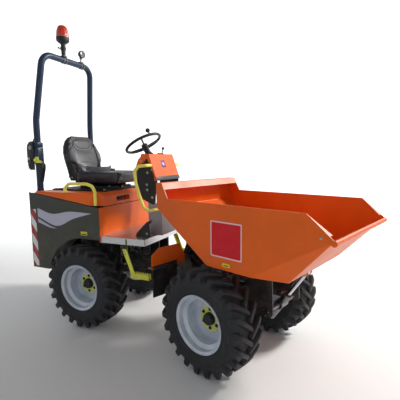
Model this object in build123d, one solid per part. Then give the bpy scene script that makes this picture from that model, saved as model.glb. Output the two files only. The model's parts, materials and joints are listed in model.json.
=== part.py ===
from build123d import *

import os
from math import cos, radians, sin, sqrt

# Articulated site dumper, in millimetres.
# Modelling frame: +X forward, +Y left, +Z up; the origin is the ground point below the steering pivot.
# The front half is drawn straight ahead in this frame and then turned about the pivot.
# Last of all, the whole machine is shifted so that the origin lies on the ground at the box centre.

# ---------------------------------------------------------------- driving sizes
WHEELBASE = 1465.0
STEER_AT_REST = -18.0  # the front half stands turned this far, in degrees
TRACK_HALF = 422.0  # centre plane of a tyre
FIT = 0.3  # gap between faces that seat on each other without touching
RUNNING = 0.05  # radial clearance of a turning or sliding fit
SIDE_GAP = 8.0  # gap beside a moving piece
TYRE_GAP = 13.0  # between a tyre's wall and the sheet beside it
THROUGH = 1.0  # a cutter reaches this far past the sheet it cuts

# wheels
TYRE_RADIUS = 380.0
TYRE_WIDTH = 258.0
BEAD_RADIUS = 194.0
RIM_FLANGE_RADIUS = 208.0
RIM_WIDTH = 236.0
RIM_FLANGE = 7.0
RIM_SHOULDER = 10.0
RIM_WELL_RADIUS = 166.0
RIM_WELL_HALF = 50.0
RIM_SHEET = 7.0
DISC_OFFSET = -27.0  # outer face of the wheel disc, from the tyre's centre plane
DISC_SHEET = 10.0
HUB_RADIUS = 95.0
HUB_STAND = 10.0
HUB_CAP_RADIUS = 36.0
HUB_CAP_LENGTH = 28.0
HUB_CAP_EDGE = 6.0
HUB_BARREL_RADIUS = 75.0
HUB_BARREL_LENGTH = 60.0
STUB_RADIUS = 30.0
STUB_END_GAP = 6.0
MOTOR_RADIUS = 72.0
MOTOR_LENGTH = 100.0
AXLE_HALF_HEIGHT = 40.0
AXLE_HALF_WIDTH = 38.0

# steering pivot and roll bearing
PIN_RADIUS = 25.0
PIN_HEAD_RADIUS = 36.0
PIN_HEAD = 9.0
LUG_THICKNESS = 28.0
LUG_RADIUS = 58.0
PIVOT_LOW_Z = 360.0
PIVOT_HIGH_Z = 590.0
PIVOT_GAP = 6.0  # between the yoke and a lug
YOKE_HALF_WIDTH = 62.0
YOKE_FRONT_X = 92.0
ROLL_Z = 475.0
SPINDLE_RADIUS = 35.0
SPINDLE_NUT = (14.0, 18.0)  # stands out this far, and its length
BEARING_RADIUS = 58.0
BEARING_LENGTH = 90.0

# steering ram, on the left of the pivot
STEER_ARM_AT = (60.0, 150.0)  # eye of the steering arm, in the front half's frame
STEER_ARM_RADIUS = 26.0
STEER_ARM_ROOT = 30.0
STEER_ARM_PLATE = 16.0
STEER_ARM_GAP = 4.0
STEER_ANCHOR_AT = (-420.0, 170.0)
STEER_RAM_Z = 475.0
STEER_EYE_RADIUS = 22.0
STEER_EYE_HALF = 16.0
STEER_BARREL_RADIUS = 27.0
STEER_BARREL_LENGTH = 290.0
STEER_FOOT_HALF = 24.0
STEER_ROD_RADIUS = 14.0
STEER_ROD_INSIDE = 70.0
STEER_PIN_RADIUS = 10.0
STEER_EAR = 12.0
STEER_EAR_RADIUS = 26.0
STEER_EAR_HALF = 34.0

# rear chassis
RAIL_HALF_GAUGE = 92.0
RAIL_SHEET = 12.0
RAIL_TOP_Z = 600.0
RAIL_REAR_X = -1305.0
RAIL_FRONT_X = -150.0
CROSSBEAM_LENGTH = 70.0
CROSSBEAM_DEPTH = 60.0
PIVOT_WALL = 20.0
BEARER_FRONT_X = -160.0
BULKHEAD_SHEET = 12.0
BULKHEAD_FOOT = 40.0

# towing hitch
TOW_EYE_X = -1400.0
TOW_EYE_Z = 448.0
TOW_EYE_RADIUS = 13.0
TOW_GAP = 33.0
TOW_PLATE = 12.0
TOW_NOSE_RADIUS = 38.0
TOW_ROOT_HALF = 62.0
TOW_BACK_Z = (404.0, 534.0)
TOW_WEB = 16.0

# rear body
TAIL_X = -1370.0
BODY_FRONT_X = -530.0
BODY_HALF = 468.0
SKIN = 5.0
BODY_BOTTOM_Z = 480.0
PANEL_TOP_REAR_Z = 1214.0
PANEL_TOP_FRONT_Z = 1100.0
ARCH_GAP = 55.0  # wheel arch round the tyre
LINER = 3.0
LINER_TOP_Z = 1000.0
TAIL_TOP_Z = 1205.0
SLOT_COUNT = 9
SLOT_PITCH = 40.0
SLOT_HEIGHT = 16.0
SLOT_LOW_Z = 760.0
SLOT_HALF = 230.0
ENGINE = ((-1150.0, -700.0), (-200.0, 200.0), (RAIL_TOP_Z, 1060.0))

# engine cover with the seat on it
SEAM = 6.0  # between the cover and the side panels
COVER_TOP_Z = 1225.0
COVER_REAR_X = -1281.0
COVER_SIDE_IN = 2.0
COVER_CORNER = 90.0
COVER_BROW = 34.0
COVER_HINGE = (-1290.0, 1214.0)
COVER_HINGE_Y = 150.0
COVER_PIN_RADIUS = 6.0
COVER_PIN_LENGTH = 18.0
COVER_LUG = (8.0, 6.0)  # radius and half width of a hinge lug
COVER_EAR = (12.0, 12.0)  # radius and width of the lid's hinge ear
RECESS = ((-215.0, -15.0), (1134.0, 1180.0))  # hand recess in the cover's front, along Y and Z
RECESS_DEPTH = 36.0
RECESS_CORNER = 12.0
RAIL_TUBE_RADIUS = 14.0
COVER_RAIL_IN = 21.0  # rail's centre plane, in from the body's side
COVER_RAIL_STAND = 3.0
COVER_RAIL_STUB = 9.0
COVER_RAIL = ((-925.0, 1262.0), (-875.0, 1303.0), (-670.0, 1305.0))  # run of the rail behind its front bend
COVER_RAIL_NOSE_Z = (1287.0, 1240.0, 1118.0)
SEAT_DECK = ((-1240.0, -596.0), (-300.0, 300.0), 12.0)
SEAT_BOX = ((-1010.0, -640.0), (-165.0, 165.0), 25.0)
BELLOWS = ((-980.0, -670.0), (-140.0, 140.0))
BELLOWS_FOLDS = 3
BELLOWS_FOLD = 14.0
SEAT_PAN = ((-1060.0, -600.0), (-175.0, 175.0), 18.0)
SEAT_PAN_Z = 1310.0
SEAT_REAR_X = -1000.0

# footplate and steps
FLOOR_Z = 850.0
FLOOR_EDGE = 55.0
FLOOR_FRONT_X = -93.0
FLOOR_REAR_IN = 14.0  # footplate's rear corner, in from the body's side
FLOOR_FRONT_IN = 40.0
FLOOR_SHEET = 5.0
FLOOR_NOSE_X = -50.0
STEP_Y = (345.0, 450.0)
STEP_X = (-262.0, -46.0)
STEP_Z = (482.0, 562.0)
STEP_WALL = 6.0
STEP_TEETH = 9
STEP_TOOTH = 7.0
STEP_SLAT = 8.0
STEP_HANGER = ((-340.0, -270.0), (-330.0, -262.0), 700.0)  # width at the top, width at the knee, its height

# console
POST_HALF = 192.0
POST_X = (-200.0, -60.0)
POST_TOP_Z = 1130.0
POST_FOOT = (24.0, 8.0)  # foot flange: how far it stands out, and its thickness
PLATE_SHEET = 6.0
CONSOLE_SIDE = [(-303, 1421), (-191, 1523), (-96, 1321), (-129, 1107), (-250, 1158), (-309, 1278)]
CONSOLE_CORNER = 22.0
HOOD_HALF = 212.0
HOOD_BROW = [(-90, 1329), (-170, 1563), (-228, 1560), (-280, 1515), (-312, 1440), (-300, 1424)]
HOOD_INSIDE = [(-190, 1527), (-118, 1372), (-118, 1329)]
HOOD_BEND = 14.0
STEERING_CENTRE = (-361.0, 1665.0)
STEERING_LEAN = 29.4  # lean of the column from upright, in degrees
STEERING_RADIUS = 170.0
STEERING_GRIP = 13.0
STEERING_HUB = (30.0, 38.0, 40.0)  # radius, length and depth below the grip
SPOKE_RADIUS = 8.0
SPOKES = (90, 210, 330)  # in the wheel's plane, from the machine's left, in degrees
KNOB_AT = 240
KNOB = (20.0, 44.0, 7.0)  # ball radius, height above the grip and stem radius
COLUMN_RADIUS = 28.0
COLUMN_TOP_GAP = 62.0
COLUMN_END = 330.0
CROSS_TUBE = (20.0, 320.0)  # radius, and place along the column
SHAFT_RADIUS = 12.0
SHAFT_END = 155.0
DASH_RAIL_Y = 300.0
DASH_RAIL_TOP = [(-150.0, 1462.0), (-218.0, 1456.0), (-260.0, 1417.0), (-251.0, 1317.0)]
DASH_RAIL_LOW = [(-209.0, 1178.0), (-176.0, 1099.0), (-122.0, 1075.0), (-80.0, 1083.0)]
DASH_RAIL_BENDS = [24, 18, 24, 60, 60, 30, 30, 20]
PEDAL_Y = 300.0
PEDAL_HALF = 30.0
PEDAL_FOOT = (-235.0, -100.0)
PEDAL_HEIGHT = 130.0
PEDAL_SHEET = 8.0

# roll bar
BAR_RADIUS = 30.0
POST_GAP = 5.0  # between a post and the tail sheet
POST_INSET = 103.0  # from a side panel's outer face in to a post's axis
BAR_SPLIT_Z = 1640.0
BAR_SPLIT_GAP = 6.0
BAR_ELBOW_Z = 1900.0
BAR_TOP_Z = 2515.0
BAR_TOP_X = -1250.0
BAR_TAPER = 47.0  # the crossbar's ends stand this far inside the posts
BAR_BEND = 110.0
BAR_ELBOW_BEND = 300.0
FOLD_BACK = 54.0  # fold axis behind the post's axis
FOLD_DROP = 3.0
FOLD_PIN_RADIUS = 10.0
FOLD_PLATE = 8.0
FOLD_EAR_RADIUS = 20.0
FOLD_EAR_FOOT_Z = 1540.0
FOLD_LUG = (18.0, 36.0, 100.0)  # radius, width and height of a leg's lug
FOLD_GUSSET = (42.0, 185.0, 20.0)  # stands out this far, its height and its thickness

# beacon and lamp on the crossbar
BEACON_Y = -52.0
BEACON_STEM = (12.0, 2686.0)
BEACON_BASE = (64.0, 26.0)
BEACON_LENS = (62.0, 50.0, 138.0)
LAMP_INSET = 132.0  # from the crossbar's end in to the lamp
LAMP_BODY = ((-25.0, 30.0), (-40.0, 40.0), (45.0, 168.0))
SADDLE_HALF = 20.0
SADDLE_HEIGHT = 12.0

# front chassis and head
SIDE_PLATE_Y = 200.0
SIDE_PLATE = 12.0
CHASSIS_REAR_X = 120.0
CHASSIS_LOW_Z = 420.0
CHASSIS_TOP_Z = 590.0
CHASSIS_CORNER = 16.0
SKIP_PIVOT = (1070.0, 735.0)
SKIP_PIN_RADIUS = 20.0
HEAD_RADIUS = 38.0
TRUNNION = (1072.0, 462.0)
TRUNNION_RADIUS = 18.0
HEAD_FOOT_RADIUS = 46.0
GUARD_X = 280.0
GUARD_SHEET = 5.0
GUARD_TOP_Z = 834.0
GUARD_LOW_Z = 668.0
GUARD_HALF = 555.0
FLAP_LOW_Z = 450.0
FLAP_SHEET = 8.0

# tip ram
RAM_EYE = (1262.0, 738.0)
RAM_BARREL_RADIUS = 30.0
RAM_ROD_RADIUS = 17.0
RAM_EYE_RADIUS = 20.0
RAM_EYE_BORE = 9.0
RAM_BELOW = 150.0
RAM_ABOVE = 92.0
RAM_ROD_INSIDE = 22.0
RAM_WALL = 8.0
RAM_COLLAR = (34.0, 45.0)
RAM_EYE_HALF = 18.0
RAM_CHEEK = 12.0
RAM_CHEEK_GAP = 3.0

# skip
SKIP_HALF = 457.5
SKIP_SHEET = 5.0
SKIP_BEND = 12.0
SKIP_REAR_X = 230.0
SKIP_TOP_Z = 1335.0
SKIP_SHOULDER_Z = 1139.0
SKIP_BOTTOM_Z = 780.0
SKIP_BOTTOM_REAR_X = 745.0
SKIP_SIDE_FOOT_X = 1094.0
SKIP_BOTTOM_FRONT = (1330.0, 388.0)
SKIP_RIM_Z = 1221.0
SKIP_RIM_REAR_X = 362.0
SKIP_RIM_FRONT_X = 1460.0
SKIP_LIP = (1618.0, 1090.0)
SKIP_FLANGE_X = 301.0
FLANGE_DROP = 0.42  # the top flange comes down this share of the way to the rim
LIP_RADIUS = 17.0
LIP_CORNER = (0.82, 38.0)  # corner plate at the lip: share of the side's front edge, and width at its foot
SKIP_EAR = 16.0
SKIP_EAR_RADIUS = 36.0
SKIP_EAR_ROOT = 90.0
SKIP_PAD = (100.0, 50.0, 8.0)  # pad over an ear: half length, width and thickness

# ---------------------------------------------------------------- worked out from the sizes
FRONT_AXLE_X = WHEELBASE / 2
REAR_AXLE_X = -WHEELBASE / 2
DISC_Y = TRACK_HALF + DISC_OFFSET
HUB_INNER_Y = DISC_Y - DISC_SHEET - HUB_BARREL_LENGTH
AXLE_END_Y = HUB_INNER_Y - SIDE_GAP
AXLE_TOP_Z = TYRE_RADIUS + AXLE_HALF_HEIGHT
PANEL_INNER = BODY_HALF - SKIN
RIM_SEAT = RIM_WIDTH / 2 - RIM_SHOULDER
ARCH_RADIUS = TYRE_RADIUS + ARCH_GAP
ARCH_TOP_Z = TYRE_RADIUS + ARCH_RADIUS
LINER_INNER_Y = TRACK_HALF - TYRE_WIDTH / 2 - TYRE_GAP
POST_Y = BODY_HALF - POST_INSET
BAR_TOP_HALF = POST_Y - BAR_TAPER
LAMP_Y = BAR_TOP_HALF - LAMP_INSET
POST_AT = (TAIL_X + SKIN + BAR_RADIUS + POST_GAP, POST_Y)
BAR_FOLD = (POST_AT[0] - FOLD_BACK, BAR_SPLIT_Z - FOLD_DROP)
COVER_HALF = BODY_HALF - COVER_SIDE_IN
COVER_RAIL_Y = BODY_HALF - COVER_RAIL_IN
FLOOR_HALF_REAR = BODY_HALF - FLOOR_REAR_IN
FLOOR_HALF_FRONT = BODY_HALF - FLOOR_FRONT_IN
HITCH_X = RAIL_REAR_X - TOW_PLATE
EAR_Y = SIDE_PLATE_Y - SIDE_PLATE - SIDE_GAP
CHEEK_Y = RAM_EYE_HALF + RAM_CHEEK_GAP


# ---------------------------------------------------------------- shape helpers
def at(axis, a, b, t):
    """A point from two outline coordinates and its place along the axis across them."""
    return {"x": (t, a, b), "y": (a, t, b), "z": (a, b, t)}[axis]


def prism(outline, axis, start, end, round_at=(), radius=0.0):
    """A flat outline drawn from start to end along the axis across it, with the round_at corners rounded."""
    face = Face(Wire.make_polygon([at(axis, a, b, start) for a, b in outline], close=True))
    if round_at:
        wanted = [Vector(*at(axis, a, b, start)) for a, b in round_at]
        corners = [v for v in face.vertices() if min((Vector(v) - c).length for c in wanted) < 0.01]
        face = face.fillet_2d(radius, corners)
    return Solid.extrude(face, Vector(*at(axis, 0, 0, end - start)))


def block(x, y, z):
    """A block from its low and high ends along each axis."""
    return prism([(x[0], y[0]), (x[1], y[0]), (x[1], y[1]), (x[0], y[1])], "z", z[0], z[1])


def rounded_block(x, y, z, radius):
    """A block along X with rounded long edges."""
    outline = [(y[0], z[0]), (y[1], z[0]), (y[1], z[1]), (y[0], z[1])]
    return prism(outline, "x", x[0], x[1], outline, radius)


def bar(start, end, radius):
    """A round bar between two points."""
    run = Vector(*end) - Vector(*start)
    return Solid.make_cylinder(radius, run.length, Plane(origin=start, z_dir=run))


def disc(axis, centre, radius, start, end):
    """A round bar along a main axis, from two centre coordinates."""
    return bar(at(axis, *centre, start), at(axis, *centre, end), radius)


def bent_tube(points, radius, bend):
    """A round tube along straight runs joined by arcs."""
    path = FilletPolyline(*points, radius=bend)
    section = Plane(origin=path @ 0, z_dir=path % 0) * Circle(radius)
    return sweep(section, path=path)


def turned(profile):
    """A solid of revolution about Y, from (distance outward, radius) points."""
    face = Face(Wire.make_polygon([(0, a, r) for a, r in profile], close=True))
    return revolve(face, Axis.Y)


def flat_sheet(points, thickness):
    """A flat sheet through points in space, thickened towards its lower side."""
    face = Face(Wire.make_polygon(points, close=True))
    normal = face.normal_at()
    if normal.Z > 0:
        normal = -normal
    return Solid.extrude(face, normal * thickness)


def mirrored(shape):
    """The same piece on the other side of the machine."""
    return shape.mirror(Plane.XZ)


def both_sides(shape):
    """A piece and its mirror image, as two solids."""
    return [shape, mirrored(shape)]


# ---------------------------------------------------------------- wheels
def tyre():
    """Ring with a flat crown, rounded shoulders and bulged walls, about Y at its own centre."""
    half = TYRE_WIDTH / 2
    bore = BEAD_RADIUS + FIT
    profile = [
        (-RIM_SEAT + FIT, bore),
        (RIM_SEAT - FIT, bore),
        (RIM_SEAT + 2, RIM_FLANGE_RADIUS + 2),
        (half * 0.93, RIM_FLANGE_RADIUS + 14),
        (half, BEAD_RADIUS + 80),
        (half * 0.98, TYRE_RADIUS - 55),
        (half * 0.86, TYRE_RADIUS - 16),
        (half * 0.62, TYRE_RADIUS),
    ]
    profile += [(-a, r) for a, r in reversed(profile[2:])]
    return turned(profile)


def rim():
    """Drop-centre rim with its disc, hub barrel and cap, about Y; +Y is the outer side."""
    half = RIM_WIDTH / 2
    bead = BEAD_RADIUS - 3
    outer = [
        (half, RIM_FLANGE_RADIUS), (half - RIM_FLANGE, RIM_FLANGE_RADIUS), (RIM_SEAT, BEAD_RADIUS),
        (RIM_WELL_HALF + 20, bead), (RIM_WELL_HALF, RIM_WELL_RADIUS),
    ]
    left = [(-a, r) for a, r in reversed(outer)]
    inner = [
        (-half, RIM_FLANGE_RADIUS - RIM_SHEET), (-RIM_SEAT - 2, BEAD_RADIUS - RIM_SHEET),
        (-RIM_WELL_HALF - 24, bead - RIM_SHEET), (-RIM_WELL_HALF - 5, RIM_WELL_RADIUS - RIM_SHEET),
    ]
    inner += [(-a, r) for a, r in reversed(inner)]
    ring = turned(outer + left + inner)
    disc_back = DISC_OFFSET - DISC_SHEET
    hub_back = disc_back - HUB_BARREL_LENGTH
    cap_end = DISC_OFFSET + HUB_CAP_LENGTH
    well = RIM_WELL_RADIUS - RIM_SHEET + THROUGH
    centre = [
        (hub_back, STUB_RADIUS + RUNNING), (disc_back, STUB_RADIUS + RUNNING), (disc_back, 0), (cap_end, 0),
        (cap_end, HUB_CAP_RADIUS - HUB_CAP_EDGE), (cap_end - HUB_CAP_EDGE, HUB_CAP_RADIUS),
        (DISC_OFFSET + HUB_STAND, HUB_CAP_RADIUS), (DISC_OFFSET + HUB_STAND, HUB_RADIUS),
        (DISC_OFFSET, HUB_RADIUS + 4), (DISC_OFFSET, well), (disc_back, well),
        (disc_back, HUB_BARREL_RADIUS), (hub_back, HUB_BARREL_RADIUS),
    ]
    return ring + turned(centre)


def axle(x):
    """Beam with a wheel motor and a stub shaft at each end."""
    beam_half = AXLE_END_Y - MOTOR_LENGTH
    beam = block((x - AXLE_HALF_WIDTH, x + AXLE_HALF_WIDTH), (-beam_half, beam_half),
                 (TYRE_RADIUS - AXLE_HALF_HEIGHT, AXLE_TOP_Z))
    tip = DISC_Y - DISC_SHEET - STUB_END_GAP
    for side in (-1, 1):
        beam += disc("y", (x, TYRE_RADIUS), MOTOR_RADIUS, side * beam_half, side * AXLE_END_Y)
        beam += disc("y", (x, TYRE_RADIUS), STUB_RADIUS, side * AXLE_END_Y, side * tip)
    return beam


# ---------------------------------------------------------------- rear half
def rear_chassis():
    """Two rails, cross beams, the bulkhead behind the footplate, its bearers and the pivot lugs."""
    tail = TAIL_X + SKIN
    frame = block((tail, tail + CROSSBEAM_LENGTH), (-PANEL_INNER, PANEL_INNER),
                  (RAIL_TOP_Z - CROSSBEAM_DEPTH, RAIL_TOP_Z))
    inner = RAIL_HALF_GAUGE - RAIL_SHEET
    for low_y in (-RAIL_HALF_GAUGE, inner):
        ys = (low_y, low_y + RAIL_SHEET)
        frame += block((RAIL_REAR_X, RAIL_FRONT_X), ys, (AXLE_TOP_Z, RAIL_TOP_Z))
        frame += block((BODY_FRONT_X, BEARER_FRONT_X), ys, (RAIL_TOP_Z, FLOOR_Z - FLOOR_SHEET))
    frame += block((RAIL_REAR_X, RAIL_REAR_X + RAIL_SHEET), (-inner, inner), (AXLE_TOP_Z, RAIL_TOP_Z))
    frame += block((RAIL_FRONT_X - PIVOT_WALL, RAIL_FRONT_X), (-inner, inner), (PIVOT_LOW_Z, PIVOT_HIGH_Z))
    for z in (PIVOT_LOW_Z, PIVOT_HIGH_Z - LUG_THICKNESS):
        outline = [
            (RAIL_FRONT_X, -RAIL_HALF_GAUGE), (0, -LUG_RADIUS),
            (0, LUG_RADIUS), (RAIL_FRONT_X, RAIL_HALF_GAUGE),
        ]
        lug = prism(outline, "z", z, z + LUG_THICKNESS)
        lug += disc("z", (0, 0), LUG_RADIUS, z, z + LUG_THICKNESS)
        frame += lug - disc("z", (0, 0), PIN_RADIUS + RUNNING, z - THROUGH, z + LUG_THICKNESS + THROUGH)
    top = ARCH_TOP_Z + LINER
    half = [
        (LINER_INNER_Y, RAIL_TOP_Z - BULKHEAD_FOOT), (LINER_INNER_Y, top),
        (PANEL_INNER, top), (PANEL_INNER, PANEL_TOP_FRONT_Z - 10),
    ]
    wall = BODY_FRONT_X - SKIN
    frame += prism(half + [(-y, z) for y, z in reversed(half)], "x", wall - BULKHEAD_SHEET, wall)
    x, y = STEER_ANCHOR_AT
    for z in (STEER_RAM_Z - STEER_EAR_HALF - STEER_EAR, STEER_RAM_Z + STEER_EAR_HALF):
        ear = block((x - STEER_EAR_RADIUS, x + STEER_EAR_RADIUS), (RAIL_HALF_GAUGE, y), (z, z + STEER_EAR))
        ear += disc("z", STEER_ANCHOR_AT, STEER_EAR_RADIUS, z, z + STEER_EAR)
        bore = disc("z", STEER_ANCHOR_AT, STEER_PIN_RADIUS + RUNNING, z - THROUGH, z + STEER_EAR + THROUGH)
        frame += ear - bore
    return frame


def tow_hitch():
    """Towing jaw: a back plate on the rails' ends and two tapered plates with the pin's bores."""
    low, high = TOW_EYE_Z - TOW_GAP / 2, TOW_EYE_Z + TOW_GAP / 2
    hitch = block((HITCH_X, RAIL_REAR_X), (-RAIL_HALF_GAUGE, RAIL_HALF_GAUGE), TOW_BACK_Z)
    hitch += block((HITCH_X - TOW_WEB, HITCH_X), (-TOW_NOSE_RADIUS, TOW_NOSE_RADIUS), (low, high))
    for z in (low - TOW_PLATE, high):
        outline = [
            (HITCH_X, -TOW_ROOT_HALF), (TOW_EYE_X, -TOW_NOSE_RADIUS),
            (TOW_EYE_X, TOW_NOSE_RADIUS), (HITCH_X, TOW_ROOT_HALF),
        ]
        plate = prism(outline, "z", z, z + TOW_PLATE)
        plate += disc("z", (TOW_EYE_X, 0), TOW_NOSE_RADIUS, z, z + TOW_PLATE)
        hitch += plate - disc("z", (TOW_EYE_X, 0), TOW_EYE_RADIUS, z - THROUGH, z + TOW_PLATE + THROUGH)
    return hitch


def arch(grow, y0, y1):
    """The space that the wheel arch leaves free: round behind and over the wheel, flat ahead of it."""
    radius = ARCH_RADIUS + grow
    shape = disc("y", (REAR_AXLE_X, TYRE_RADIUS), radius, y0, y1)
    return shape + block((REAR_AXLE_X, BODY_FRONT_X + 50), (y0, y1), (0, TYRE_RADIUS + radius))


def side_panel():
    """Left side panel with its wheel arch and the arch's liner."""
    outline = [
        (TAIL_X, BODY_BOTTOM_Z), (BODY_FRONT_X, BODY_BOTTOM_Z),
        (BODY_FRONT_X, PANEL_TOP_FRONT_Z), (TAIL_X, PANEL_TOP_REAR_Z),
    ]
    panel = prism(outline, "y", PANEL_INNER, BODY_HALF) - arch(0, PANEL_INNER - THROUGH, BODY_HALF + THROUGH)
    liner = arch(LINER, LINER_INNER_Y, PANEL_INNER) - arch(0, LINER_INNER_Y - THROUGH, PANEL_INNER + THROUGH)
    liner_front = BODY_FRONT_X - SKIN - BULKHEAD_SHEET
    keep = block((TAIL_X + SKIN, liner_front), (0, BODY_HALF), (BODY_BOTTOM_Z, LINER_TOP_Z))
    return panel + (liner & keep)


def panel_top(x):
    """Height of the side panels' sloping top edge."""
    share = (x - TAIL_X) / (BODY_FRONT_X - TAIL_X)
    return PANEL_TOP_REAR_Z + share * (PANEL_TOP_FRONT_Z - PANEL_TOP_REAR_Z)


def tail_panel():
    """Tail sheet with cooling slots, a top flange round the roll bar's posts and the cover's hinge pins."""
    hinge_x, hinge_z = COVER_HINGE
    lug_radius, lug_half = COVER_LUG
    sheet = block((TAIL_X, TAIL_X + SKIN), (-PANEL_INNER, PANEL_INNER), (BODY_BOTTOM_Z, TAIL_TOP_Z))
    sheet += block((TAIL_X, hinge_x - 12), (-PANEL_INNER, PANEL_INNER), (TAIL_TOP_Z - SKIN, TAIL_TOP_Z))
    for row in range(SLOT_COUNT):
        z = SLOT_LOW_Z + row * SLOT_PITCH
        slot = rounded_block((TAIL_X - THROUGH, TAIL_X + SKIN + THROUGH), (-SLOT_HALF, SLOT_HALF),
                             (z, z + SLOT_HEIGHT), SLOT_HEIGHT / 2 - 1)
        sheet -= slot
    for side in (-1, 1):
        post = (POST_AT[0], side * POST_AT[1])
        sheet -= disc("z", post, BAR_RADIUS + FIT, TAIL_TOP_Z - SKIN - THROUGH, TAIL_TOP_Z + THROUGH)
        y = side * COVER_HINGE_Y
        lug = block((hinge_x - 30, hinge_x), (y - lug_half, y + lug_half), (TAIL_TOP_Z, hinge_z + lug_radius))
        lug += disc("y", COVER_HINGE, lug_radius, y - lug_half, y + lug_half)
        sheet += lug + disc("y", COVER_HINGE, COVER_PIN_RADIUS, y + lug_half, y + lug_half + COVER_PIN_LENGTH)
    return sheet


def seat_box():
    """Front wall below the engine cover."""
    return block((BODY_FRONT_X - SKIN, BODY_FRONT_X), (-PANEL_INNER, PANEL_INNER),
                 (FLOOR_Z - FLOOR_EDGE, PANEL_TOP_FRONT_Z))


def footplate():
    """Folded floor sheet with deep side edges and a nose under the console post."""
    low, under = FLOOR_Z - FLOOR_EDGE, FLOOR_Z - FLOOR_SHEET
    outline = [
        (BODY_FRONT_X, -FLOOR_HALF_REAR), (FLOOR_FRONT_X, -FLOOR_HALF_FRONT),
        (FLOOR_FRONT_X, FLOOR_HALF_FRONT), (BODY_FRONT_X, FLOOR_HALF_REAR),
    ]
    rear_half, front_half = FLOOR_HALF_REAR - FLOOR_SHEET, FLOOR_HALF_FRONT - FLOOR_SHEET
    inside = [
        (BODY_FRONT_X - THROUGH, -rear_half), (FLOOR_FRONT_X - FLOOR_SHEET, -front_half),
        (FLOOR_FRONT_X - FLOOR_SHEET, front_half), (BODY_FRONT_X - THROUGH, rear_half),
    ]
    plate = prism(outline, "z", low, FLOOR_Z, outline[1:3], 10) - prism(inside, "z", low - THROUGH, under)
    nose_half = POST_HALF + 10
    return plate + block((FLOOR_FRONT_X - 10, FLOOR_NOSE_X), (-nose_half, nose_half), (under, FLOOR_Z))


def serrated_plate(xs, y, sheet, low, high):
    """An upright plate along X with a saw-toothed top edge."""
    pitch = (xs[1] - xs[0]) / STEP_TEETH
    outline = [(xs[0], low), (xs[1], low)]
    for tooth in range(STEP_TEETH):
        right = xs[1] - tooth * pitch
        outline += [(right, high), (right - pitch / 2, high + STEP_TOOTH)]
    return prism(outline + [(xs[0], high)], "y", y, y + sheet)


def step():
    """Left step: a leaning hanger and a box tread of saw-toothed plates."""
    y0, y1 = STEP_Y
    x0, x1 = STEP_X
    low, high = STEP_Z
    top, knee, knee_z = STEP_HANGER
    tread = serrated_plate(STEP_X, y0, STEP_WALL, low, high)
    tread += serrated_plate(STEP_X, y1 - STEP_WALL, STEP_WALL, low, high)
    for x in (x0, x1 - STEP_WALL):
        tread += block((x, x + STEP_WALL), STEP_Y, (low, high))
    gap = (y1 - y0 - STEP_WALL) / 3
    for row in (1, 2):
        tread += serrated_plate(STEP_X, y0 + row * gap, STEP_WALL, high - STEP_SLAT * 2, high)
    hanger = [
        (top[0], FLOOR_Z - FLOOR_SHEET), (top[1], FLOOR_Z - FLOOR_SHEET), (knee[1], knee_z),
        (x0 + 46, high), (x0 + 46, low), (x0, low), (x0, high), (knee[0], knee_z),
    ]
    return tread + prism(hanger, "y", y0, y0 + STEP_SLAT)


def console_post():
    """Folded pedestal under the console, open towards the seat, with a foot flange on each side."""
    stand, sheet = POST_FOOT
    post = block(POST_X, (-POST_HALF, POST_HALF), (FLOOR_Z, POST_TOP_Z))
    inner = POST_HALF - PLATE_SHEET
    post -= block((POST_X[0] - THROUGH, POST_X[1] - PLATE_SHEET), (-inner, inner),
                  (FLOOR_Z - THROUGH, POST_TOP_Z + THROUGH))
    for side in (-1, 1):
        ys = sorted((side * POST_HALF, side * (POST_HALF + stand)))
        post += block((POST_X[0], FLOOR_FRONT_X - 10), ys, (FLOOR_Z, FLOOR_Z + sheet))
    return post


def console_plates():
    """Dark side plates of the console."""
    plate = prism(CONSOLE_SIDE, "y", POST_HALF, POST_HALF + PLATE_SHEET, CONSOLE_SIDE[:1] + CONSOLE_SIDE[3:],
                  CONSOLE_CORNER)
    return both_sides(plate)


def console_hood():
    """Folded hood over the console, with a curved back and a slanted front."""
    shell = prism(HOOD_BROW + HOOD_INSIDE, "y", -HOOD_HALF, HOOD_HALF, HOOD_BROW[1:5], HOOD_BEND)
    shell -= column_bar(COLUMN_RADIUS + FIT)
    for plate in console_plates():
        shell -= plate
    return shell


def along_column(distance):
    """A point on the steering column's axis, measured down from the wheel's centre."""
    lean = radians(STEERING_LEAN)
    return (STEERING_CENTRE[0] + distance * sin(lean), 0, STEERING_CENTRE[1] - distance * cos(lean))


def column_bar(radius):
    """The column's outside, or the hole that it passes through."""
    return bar(along_column(COLUMN_TOP_GAP), along_column(COLUMN_END), radius)


def steering_column():
    """Column tube with a bore for the wheel's shaft, on a cross tube between the side plates."""
    radius, distance = CROSS_TUBE
    foot = along_column(distance)
    tube = column_bar(COLUMN_RADIUS) + disc("y", (foot[0], foot[2]), radius, -POST_HALF, POST_HALF)
    bore = bar(along_column(COLUMN_TOP_GAP - THROUGH), along_column(SHAFT_END + 5), SHAFT_RADIUS + RUNNING)
    return tube - bore


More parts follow.
